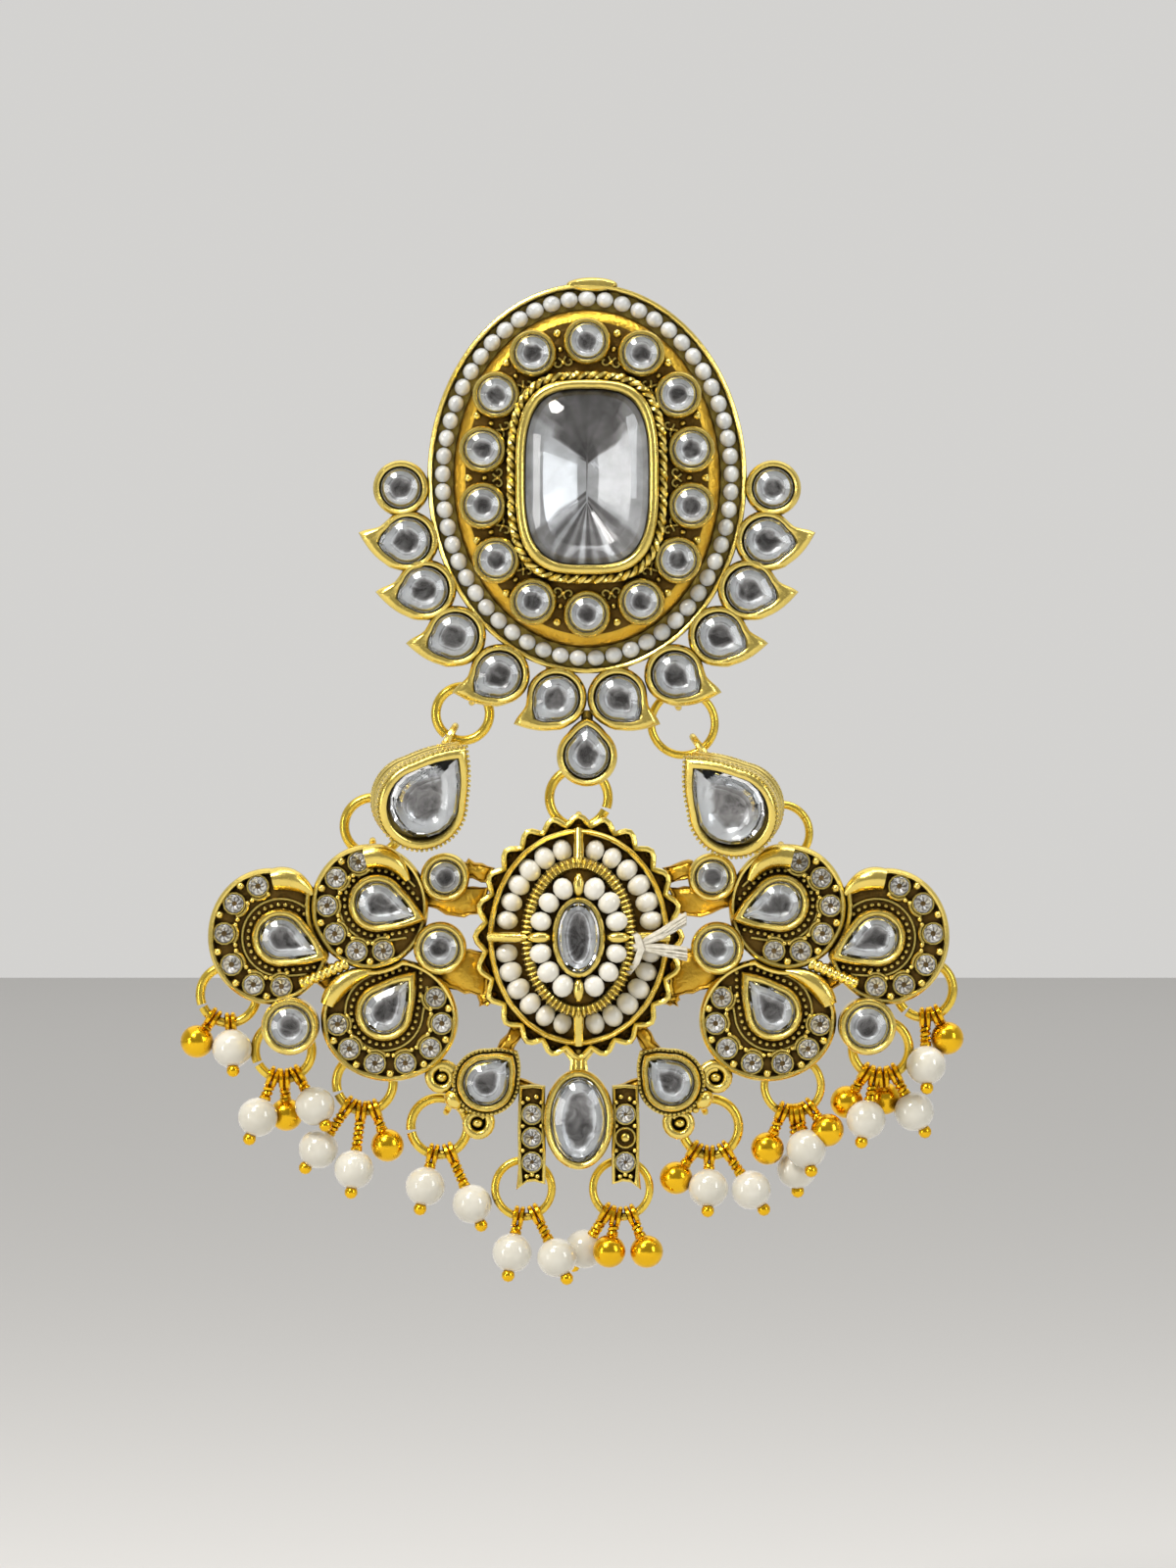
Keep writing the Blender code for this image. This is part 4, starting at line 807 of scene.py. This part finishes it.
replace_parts(medallion, "drop_frame")
setting_stone = foiled_stone(oval(2.10, 3.50, 24), 2.1, 5.55, Matrix(), 0.10, 1.2)
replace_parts(cast("medallion_stone", setting_stone, STONE_LAYERS, "drop", DROP_BENCH, 12),
            "drop_stone_medallion")


# Seed beads: milky white glass beads threaded in two rows round the setting, six and three to each quarter, and the
# frayed ends of their cotton thread knotted over the rim.
MILKY_GLASS = lustre("milky_glass", (0.80, 0.78, 0.71), (0.68, 0.65, 0.56), 0.18, 0.9, 500)
COTTON = lustre("cotton_thread", (0.74, 0.70, 0.60), (0.52, 0.48, 0.38), 0.85, 0.0, 1800)


def quarter_row(half_width, half_height, per_quarter, radius, level, gap, breadth):
    """Beads on an oval line, the same number in each quarter, with room left for the bars."""
    beads = []
    line = oval(half_width, half_height, 360)(0)
    for quarter in range(4):
        for step in range(per_quarter):
            share = quarter / 4 + (gap + (0.25 - 2 * gap) * (step + 0.5) / per_quarter)
            wobble = sin((quarter * per_quarter + step) * 7.31)
            spot, along = spaced(line, 1, share)[0]
            size = radius * (1 + 0.05 * wobble)
            beads.append(ball((spot.x * (1 + 0.012 * wobble), spot.y, level + 0.08 * wobble), size, 14, 9,
                              (0.95, breadth, 0.98), atan2(along.y, along.x)))
    return beads


outer_beads = quarter_row(7.50, 9.00, 6, 1.06, ROW_FLOOR + 1.12, gap=0.014, breadth=1.14)
inner_beads = quarter_row(4.05, 5.32, 3, 1.10, 4.30 + 1.0, gap=0.020, breadth=1.06)
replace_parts(cast("medallion_bead_row", outer_beads, [MILKY_GLASS], "drop", DROP_BENCH),
            "medallion_outer_beads")
cast("medallion_inner_bead_row", inner_beads, [MILKY_GLASS], "drop", DROP_BENCH)
strands = []
for step in range(9):
    spread = (step - 4) / 4
    for tip in ((10.9, 1.9 + spread * 0.55), (11.0, -1.7 + spread * 0.6)):
        middle = ((5.9 + tip[0]) / 2, tip[1] * 0.45 - 0.5 + spread * 0.22)
        strands.append([(5.7, -0.9 + spread * 0.15, 4.5), (*middle, 5.35 + 0.25 * sin(step * 2.3)),
                        (*tip, 5.0 + 0.5 * sin(step * 3.7))])
for step in range(4):
    shift = step * 0.16
    strands.append([(5.0 + shift, 0.7, 4.6), (5.7 + shift, 0.1, 5.3), (6.1 + shift, -1.2, 5.3),
                    (5.6 + shift, -2.6, 5.0), (4.7 + shift, -3.7, 4.5)])
threads = [wires([strand], 0.13, 6) for strand in strands]
threads.append(ball((5.8, -0.9, 4.8), 0.55, 10, 7, (1, 1.1, 0.9)))
cast("thread_ends", threads, [COTTON], "drop", DROP_BENCH)


# Wings: three cast paisleys a side, each with a rim round an oxidised field of rhinestones in prongs, a large pear
# stone in its own setting, and a polished horn curling over its shoulder.
FIELD = 1.70
STONE_LINE = 1.66
HORN_LEVEL = 2.15
# Each row has the paisley's centre and half size, its stone's offset and direction, and the first angle, last angle
# and number of its rhinestones.
PAISLEYS = (
    ("upper", (21.29, 3.05), (6.0, 6.4), (-1.89, 0.0), 199, (75, -109, 6)),
    ("outer", (31.45, 0.05), (6.3, 6.95), (-2.2, -0.6), 204, (75, -105, 6)),
    ("lower", (19.25, -8.44), (7.0, 6.3), (-0.15, 1.7), 128, (-6, -209, 7)),
)
# Each round setting has its place, its radius and the height of its lip.
ROUNDS = (
    ("round_top", (13.6, 6.05), 2.50, 3.05),
    ("round_middle", (14.1, -1.15), 2.70, 3.55),
    ("round_raised", (29.3, -9.05), 2.90, 5.75),
)
# Each horn has three places along it, and its width at each.
HORNS = (
    ((21.75, 8.05), (19.25, 7.87), (17.4, 5.73), (1.20, 1.15, 0.35)),
    ((31.2, 5.82), (29.07, 5.73), (27.1, 4.3), (1.10, 1.10, 0.30)),
    ((21.03, -3.55), (23.9, -4.63), (25.6, -6.95), (0.25, 1.0, 0.75)),
)
RIB = (Vector((28.36, -4.81, 2.1)), Vector((23.5, -2.66, 2.1)))
DARK_LAYERS = [ANTIQUE_GOLD, OXIDISED_GROUND]


def bitten(ring, centre, half):
    """The same outline, stepped back to where another oval's edge crosses it."""
    def cut(inset):
        points = []
        for point in ring(inset):
            wide, high = half[0] + inset, half[1] + inset
            across, up = (point.x - centre[0]) / wide, (point.y - centre[1]) / high
            reach = (across ** 2 + up ** 2) ** 0.5
            if reach < 1:
                point = Vector((centre[0] + wide * across / reach, centre[1] + high * up / reach))
            points.append(point)
        return points
    return cut


def rhinestone(x, y, level, radius=0.98):
    """A small chaton: eight kite facets round a table, over a foil painted with a star of alternating light and
    shade.
    """
    ring = oval(radius, radius, 16)
    glass = raised(ring, ((0.62, level - 0.42), (0.03, level + 0.16), (0.03, level + 0.24), (0.44, level + 0.54),
                          (0.50, level + 0.55)), shifted(x, y, 0.2), 0)
    # The foil's third values paint a star of light and shade on alternate facets.
    foil = raised(ring, ((0.0, level - 0.50), (0.0, level + 0.12, 1.0, 0.75), (0.34, level - 0.10, 0.42, 0.95),
                         (0.66, level - 0.30, 0.90, 0.12), (0.92, level - 0.40, 0.20)), shifted(x, y, 0.2), 1)
    return [glass, foil]


def bent(first, second, third, count):
    """Points of a curve through three places."""
    first, second, third = Vector(first), Vector(second), Vector(third)
    pull = second * 2 - (first + third) / 2
    return [first * (1 - t) ** 2 + pull * 2 * t * (1 - t) + third * t ** 2 for t in
            [step / (count - 1) for step in range(count)]]


def setting_lip(foot, front, inset=0.80):
    scale = inset / 0.80
    return ((0.0, foot), (0.0, front - 0.55), (0.06 * scale, front - 0.25), (0.22 * scale, front - 0.04),
            (0.42 * scale, front), (0.60 * scale, front - 0.10), (0.74 * scale, front - 0.42), (inset, front - 1.75))


def inside(place, centre, half, margin):
    """Whether a place lies inside an oval, clear of its edge by a margin."""
    across, up = (place.x - centre[0]) / (half[0] - margin), (place.y - centre[1]) / (half[1] - margin)
    return across ** 2 + up ** 2 < 1


wing_pear = teardrop(2.92, 4.08, 48)
wing_stones, wing_metal, stone_names = [], [], []
for side, word in ((-1, "left"), (1, "right")):
    for name, centre, half, offset, direction, (first, last, count) in PAISLEYS:
        x, y = side * centre[0], centre[1]
        spot = shifted(x, y)
        body_ring = oval(*half, 64)
        if name != "upper":
            shoulder = PAISLEYS[0]
            body_ring = bitten(body_ring, (side * (shoulder[1][0] - centre[0]), shoulder[1][1] - y), shoulder[2])
        wing_metal.append(raised(body_ring, ((0.12, 0.15), (0.0, 0.32), (0.0, 1.95), (0.10, 2.38), (0.28, 2.58),
                                             (0.50, 2.52), (0.61, 2.25), (0.64, 1.5)), spot))
        wing_metal.append(raised(body_ring, ((0.60, 1.30), (0.62, FIELD)), spot, 1))
        pitch = (last - first) / (count - 1)
        for step in range(count):
            angle = radians(first + pitch * step)
            for reach, between in ((STONE_LINE, 0.0), (0.84, 0.5), (2.72, 0.42), (2.66, -0.36)):
                turn = angle + radians(pitch) * between
                place = (x + side * (half[0] - reach) * cos(turn), y + (half[1] - reach) * sin(turn))
                if reach == STONE_LINE:
                    wing_stones += rhinestone(*place, FIELD + 0.32)
                    wing_metal.append(wires([round_path((*place, FIELD + 0.42), 1.08, 14)], 0.13, 6, closed=True))
                elif reach > 1:
                    wing_metal.append(ball((*place, FIELD + 0.35), 0.27, 8, 6))
                elif step < count - 1:
                    wing_metal.append(ball((*place, FIELD + 0.75), 0.40, 10, 7))
            inner = (x + side * (half[0] - STONE_LINE) * cos(angle), y + (half[1] - STONE_LINE) * sin(angle))
            facing = atan2(-sin(angle), -side * cos(angle))
            claw = round_path((*inner, FIELD + 0.40), 1.36, 8, facing - 0.75, facing + 0.75)
            wing_metal.append(wires([claw], 0.17, 6))
        stone_spot = shifted(x + side * offset[0], y + offset[1], side * radians(direction - 90))
        wing_metal.append(raised(wing_pear, setting_lip(FIELD - 0.2, 3.55), stone_spot))
        wing_stones += foiled_stone(teardrop(2.19, 3.28, 32), 2.15, 2.72, stone_spot)
        for grain, _ in spaced(wing_pear(-0.42), 34):
            place = stone_spot @ Vector((*grain, FIELD + 0.22))
            if inside(place, (x, y), half, 0.7):
                wing_metal.append(ball(place, 0.24, 6, 4))
        curl = [stone_spot @ Vector((*point, FIELD + 0.12)) for point in wing_pear(-1.02)]
        wing_metal.append(wires([[place for place in curl if inside(place, (x, y), half, 0.9)]], 0.17, 6))
        stone_names.append(f"drop_stone_{name}_{word}")
    for name, place, radius, front in ROUNDS:
        spot = shifted(side * place[0], place[1])
        wing_metal.append(raised(oval(radius, radius, 40), setting_lip(0.35, front), spot))
        wing_stones += foiled_stone(oval(radius - 0.72, radius - 0.72, 24), radius - 0.7, front - 0.84, spot)
        stone_names.append(f"drop_stone_{name}_{word}")
    for *places, sizes in HORNS:
        path = bent(*[(side * across, up) for across, up in places], 16)
        widths = [step.x for step in bent(*[(size, 0) for size in sizes], 16)]
        wing_metal.append(wires([[(*point, HORN_LEVEL) for point in path]], 1.0, 16, widths=widths))
    rib = [RIB[0].lerp(RIB[1], step / 24) * Vector((side, 1, 1)) for step in range(25)]
    wing_metal.append(wires([rib], 0.68, 10, widths=[1.0 if step % 3 else 0.78 for step in range(25)]))
wings = cast("wing_paisleys", wing_metal, DARK_LAYERS, "drop", DROP_BENCH)
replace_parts(wings, "drop_frame")
wing_stones = cast("wing_stones", wing_stones, STONE_LAYERS, "drop", DROP_BENCH, 14)
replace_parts(wing_stones, *stone_names)


# Backing: rough strips of brass sheet, amber with lacquer, soldered behind the medallion to carry the wings, and
# shorter ones behind the foot.
def rough_patch(points, seed):
    """An uneven outline drawn towards its middle by each inset."""
    middle = sum((Vector(point) for point in points), Vector((0, 0))) / len(points)
    outline = []
    for number, point in enumerate(points):
        after = Vector(points[(number + 1) % len(points)])
        for part in range(4):
            spot = Vector(point).lerp(after, part / 4)
            wobble = 0.13 * sin(seed + number * 5.1 + part * 2.7)
            outline.append(spot + (spot - middle).normalized() * wobble)

    def ring(inset):
        return [spot + (middle - spot).normalized() * inset for spot in outline]
    return ring


BACKING = (
    ((8.6, 7.0), (11.2, 7.9), (12.6, 7.2), (12.4, 6.2), (9.2, 5.4)),
    ((9.2, 5.0), (12.4, 5.2), (16.8, 5.0), (16.8, 3.6), (12.4, 1.9), (9.6, 2.4)),
    ((9.6, -1.6), (12.6, -1.0), (16.2, -2.2), (15.8, -4.0), (12.4, -5.6), (9.4, -6.2), (9.0, -4.0)),
    ((8.3, -5.6), (10.4, -5.8), (10.1, -7.1), (8.5, -6.9)),
    ((23.0, -5.6), (24.6, -6.2), (28.6, -3.6), (28.2, -1.8), (25.6, -2.6)),
    ((5.2, -9.2), (6.8, -9.0), (9.0, -12.2), (7.6, -13.2)),
    ((3.6, -15.2), (4.2, -16.4), (7.8, -15.6), (7.2, -14.0)),
)
SHEET_PROFILE = ((0.10, 0.30), (0.0, 0.45), (0.0, 1.15), (0.16, 1.42), (0.42, 1.30), (0.62, 1.48))
backing = []
for number, outline in enumerate(BACKING):
    for side in (-1, 1):
        mirrored = [(side * x, y) for x, y in outline][::side]
        backing.append(raised(rough_patch(mirrored, number + side), SHEET_PROFILE))
cast("soldered_backing", backing, [AMBER_GOLD], "drop", DROP_BENCH, sharp=60)


# Foot of the drop: two beaded pear settings with scrolls, and an oval setting between two bars of small stones. One
# seat of the right bar is empty.
PEAR_EDGE = ((0.0, 0.35), (0.0, 1.95), (0.08, 2.12), (0.36, 2.12), (0.44, 1.80), (0.50, 1.80), (0.52, 3.15),
             (0.58, 3.38), (0.74, 3.54), (0.92, 3.54), (1.06, 3.36), (1.14, 3.05), (1.18, 1.9))
BAR_EDGE = ((0.10, 0.30), (0.0, 0.45), (0.0, 2.25), (0.08, 2.45), (0.22, 2.50), (0.32, 2.40), (0.36, 1.5))
BAR_X = 4.75
BAR_HALF = 1.35
BAR_SEATS = (-18.06, -20.45, -22.94)
EMPTY_SEAT = (1, 1)
foot_metal, foot_stones = [], []
for side in (-1, 1):
    spot = shifted(side * 9.05, -14.45, side * radians(45))
    pear = teardrop(3.45, 4.0, 48)
    foot_metal.append(raised(pear, PEAR_EDGE, spot))
    for bead, _ in spaced(pear(0.20), 48):
        foot_metal.append(ball(spot @ Vector((*bead, 2.16)), 0.21, 6, 4))
    foot_stones += foiled_stone(teardrop(2.22, 2.78, 32), 2.2, 2.68, spot)
    for x, y, start, hand in ((13.95, -14.35, 2.6, -1), (10.3, -19.0, 1.2, 1)):
        turn = start if side > 0 else pi - start
        path = []
        for step in range(22):
            angle = turn + side * hand * step * 0.36
            reach = 1.42 - 0.022 * step
            path.append((side * x + reach * cos(angle), y + reach * sin(angle), 1.30))
        foot_metal += [wires([path], 0.52, 10, widths=[1.05 - 0.012 * step for step in range(22)]),
                       ball((side * x, y, 1.25), 0.50, 10, 7, (1.2, 1.0, 1.1)),
                       raised(oval(1.25, 1.25, 20), ((0.0, 0.45), (0.0, 0.75)), shifted(side * x, y), 1)]
    foot_metal += [ball((side * 12.75, -16.6, 1.7), 1.05, 14, 9, (1.05, 0.85, 0.9), side * 0.8),
                   ball((side * 11.9, -17.6, 1.4), 0.42, 8, 6)]

    def bar_ring(inset, side=side):
        left, right, top = BAR_X - BAR_HALF + inset, BAR_X + BAR_HALF - inset, -15.15 - inset
        points = [(left, top), (BAR_X, top + 0.12), (right, top), (right + 0.12, -19.5), (right + 0.05, -23.5),
                  (right + 0.25 - inset, -25.75 + inset * 2.2), (5.3, -25.0 + inset), (4.5, -24.9 + inset),
                  (left, -25.2 + inset), (left - 0.05, -22.0), (left + 0.05, -18.5)]
        return [Vector((side * x, y)) for x, y in points]

    foot_metal += [raised(bar_ring, BAR_EDGE), raised(bar_ring, ((0.30, 1.4), (0.32, 1.85)), layer=1)]
    for number, y in enumerate(BAR_SEATS):
        x = side * BAR_X
        foot_metal.append(wires([round_path((x, y, 2.25), 1.02, 14)], 0.12, 6, closed=True))
        if (side, number) != EMPTY_SEAT:
            foot_stones += rhinestone(x, y, 2.18, 0.92)
        else:
            foot_metal.append(ball((x, y, 2.0), 0.55, 8, 6, (1, 1, 0.5)))
        for across in (-0.95, 0.95):
            foot_metal.append(ball((x + across, y + 1.2, 2.45), 0.24, 8, 6))
    for x, y in ((4.3, -16.3), (5.2, -16.5), (4.75, -24.2), (4.2, -24.4), (5.3, -24.4)):
        foot_metal.append(ball((side * x, y, 2.1), 0.30, 8, 6))
oval_spot = shifted(0, -18.55)
foot_metal.append(raised(oval(3.57, 5.08, 56), setting_lip(0.35, 4.05, 0.86), oval_spot))
foot_stones += foiled_stone(oval(2.78, 4.26, 28), 2.6, 3.28, oval_spot, 0.30, 1.1)
foot_metal.append(wires([[(0, -11.6, 1.2), (0, -14.2, 1.5)]], 0.62, 10))
for side in (-1, 1):
    strut = [(side * 1.3, -11.6, 1.1), (side * 0.55, -12.6, 1.25), (side * 0.7, -14.0, 1.4)]
    foot_metal.append(wires([strut], 0.32, 8))
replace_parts(cast("drop_foot", foot_metal, DARK_LAYERS, "drop", DROP_BENCH), "drop_frame")
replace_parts(cast("foot_stones", foot_stones, STONE_LAYERS, "drop", DROP_BENCH, 14),
            "drop_stone_bottom_left", "drop_stone_bottom_right", "drop_stone_bottom_oval")


# Clusters: ten jump rings under the drop, each with two to four beads on headed wires. Satin glass pearls hang beside
# bright gilt balls, and each wire is looped round its ring and wrapped at its neck.
CLUSTER_RING = 2.9
PEARL = 2.05
GOLD_BEAD = 1.7
HALF_HEIGHT = MEDALLION_HALF[1]
# Each row has the ring's place, the place on the drop that its eye comes from, whether it is wound twice, and its
# beads: the angle of each, its reach in ring radii and its depth in pearls. Places are shares of the half height.
CLUSTERS = (
    ("far_left", (-2.837, -0.472), (-2.75, -0.10), False,
     (("gold", -34, 1.99, 0.1), ("pearl", 4, 1.90, 0.5))),
    ("outer_left", (-2.393, -0.925), (-2.34, -0.60), False,
     (("pearl", -21, 2.51, 0.2), ("gold", 2, 2.28, -0.8), ("pearl", 30, 2.24, 0.6))),
    ("wing_left", (-1.734, -1.187), (-1.66, -0.93), False,
     (("pearl", -35, 2.85, -0.2), ("pearl", -7, 3.06, 0.4), ("gold", 20, 2.34, 0.0))),
    ("scroll_left", (-1.131, -1.540), (-0.98, -1.24), False,
     (("pearl", -13, 2.16, 0.3), ("pearl", 23, 2.97, 0.0))),
    ("bar_left", (-0.448, -2.044), (-0.39, -1.80), True,
     (("pearl", -10, 2.28, 0.4), ("pearl", 26, 2.69, 0.5))),
    ("bar_right", (0.345, -2.044), (0.37, -1.80), True,
     (("pearl", -31, 2.54, -1.2), ("gold", -11, 2.24, 0.3), ("gold", 22, 2.38, 0.3))),
    ("scroll_right", (1.067, -1.546), (0.96, -1.24), False,
     (("gold", -34, 2.16, 0.0), ("pearl", -2, 2.14, 0.5), ("pearl", 33, 2.64, 0.0))),
    ("wing_right", (1.734, -1.210), (1.66, -0.93), True,
     (("gold", -22, 2.38, 0.1), ("pearl", 12, 2.26, 0.6), ("pearl", 3, 2.97, -0.7), ("gold", 38, 1.97, 0.5))),
    ("outer_right", (2.448, -0.909), (2.36, -0.60), False,
     (("gold", -32, 2.24, -0.5), ("pearl", -12, 2.55, 0.4), ("gold", 5, 1.79, -1.1), ("pearl", 28, 2.52, -0.2))),
    ("far_right", (2.802, -0.429), (2.72, -0.08), False,
     (("gold", 25, 1.90, 0.0), ("pearl", 1, 2.66, 0.6))),
)
SATIN_PEARL = lustre("satin_pearl", (0.70, 0.675, 0.59), (0.58, 0.55, 0.46), 0.20, 0.9, 220)


def coil(start, end, radius, turns, wire):
    """Wire wound round the line from start to end."""
    along = (end - start).normalized()
    across = along.cross(Vector((0, 0, 1))).normalized()
    up = along.cross(across)
    steps = int(turns * 10)
    path = [start.lerp(end, step / steps) + (across * cos(step * 0.628) + up * sin(step * 0.628)) * radius
            for step in range(steps + 1)]
    return wires([path], wire, 6)


drop_eyes = eye_loop((0, 14.15), CENTRE_RING_RADIUS, RING_LEVEL, -pi / 2, (0, 9.95, 0.55))
for *_, lower, double in SIDE_LINKS:
    ring_centre = (lower[0] * SIDE_DROP - MEDALLION_AT[0], lower[1] * SIDE_DROP - MEDALLION_AT[1] - 0.3)
    root = (ring_centre[0], ring_centre[1] - LOWER_RING_RADIUS - 1.8, 0.55)
    drop_eyes += eye_loop(ring_centre, LOWER_RING_RADIUS, LOWER_RING_LEVEL, -pi / 2, root, double, 0.45)
for name, place, root, double, beads in CLUSTERS:
    centre = Vector(place) * HALF_HEIGHT
    root = Vector(root) * HALF_HEIGHT
    facing = atan2(root.y - centre.y, root.x - centre.x)
    drop_eyes += eye_loop(centre, CLUSTER_RING, RING_LEVEL, facing, (*root, 0.55), double)
    metalwork = jump_ring(centre, CLUSTER_RING, RING_LEVEL, double, facing + 2.2, 2)
    for kind, angle, reach, depth in beads:
        turn = radians(angle) - pi / 2
        outward = Vector((cos(turn), sin(turn), 0))
        on_ring = Vector((*centre, RING_LEVEL)) + outward * CLUSTER_RING
        bead = Vector((*centre, RING_LEVEL + depth * PEARL)) + outward * CLUSTER_RING * reach
        radius = PEARL if kind == "pearl" else GOLD_BEAD
        along = (bead - on_ring).normalized()
        beside = Vector((-outward.y, outward.x, 0))
        for shift in (-0.30, 0.30):
            middle = on_ring + beside * shift + outward * 0.05
            turn_on_ring = round_path(middle, 0.92, 16, across=outward, up=(0, 0, 1))
            metalwork.append(wires([turn_on_ring], 0.27, 6, closed=True))
        neck = on_ring + along * 0.9
        top = bead - along * (radius - 0.1)
        if (top - neck).length > 0.5:
            metalwork.append(coil(neck, top, 0.36, max(1.5, (top - neck).length / 0.5), 0.24))
        metalwork += [wires([[neck, top]], 0.22, 6), ball(bead - along * (radius - 0.05), 0.62, 10, 6, (1, 1, 0.7))]
        head = bead + along * (radius + 0.32)
        if kind == "pearl":
            metalwork += [ball(bead, radius, 24, 14, (1, 0.985, 1), 0.0, 1), ball(head, 0.70, 10, 7)]
        else:
            metalwork.append(ball(bead, radius, 24, 14))
    cluster = cast(f"bead_cluster_{name}", metalwork, [BRIGHT_GOLD, SATIN_PEARL, RING_GOLD], "drop", DROP_BENCH,
                   50)
    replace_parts(cluster, f"cluster_{name}")
cast("drop_ring_eyes", drop_eyes, [RING_GOLD], "drop", DROP_BENCH)
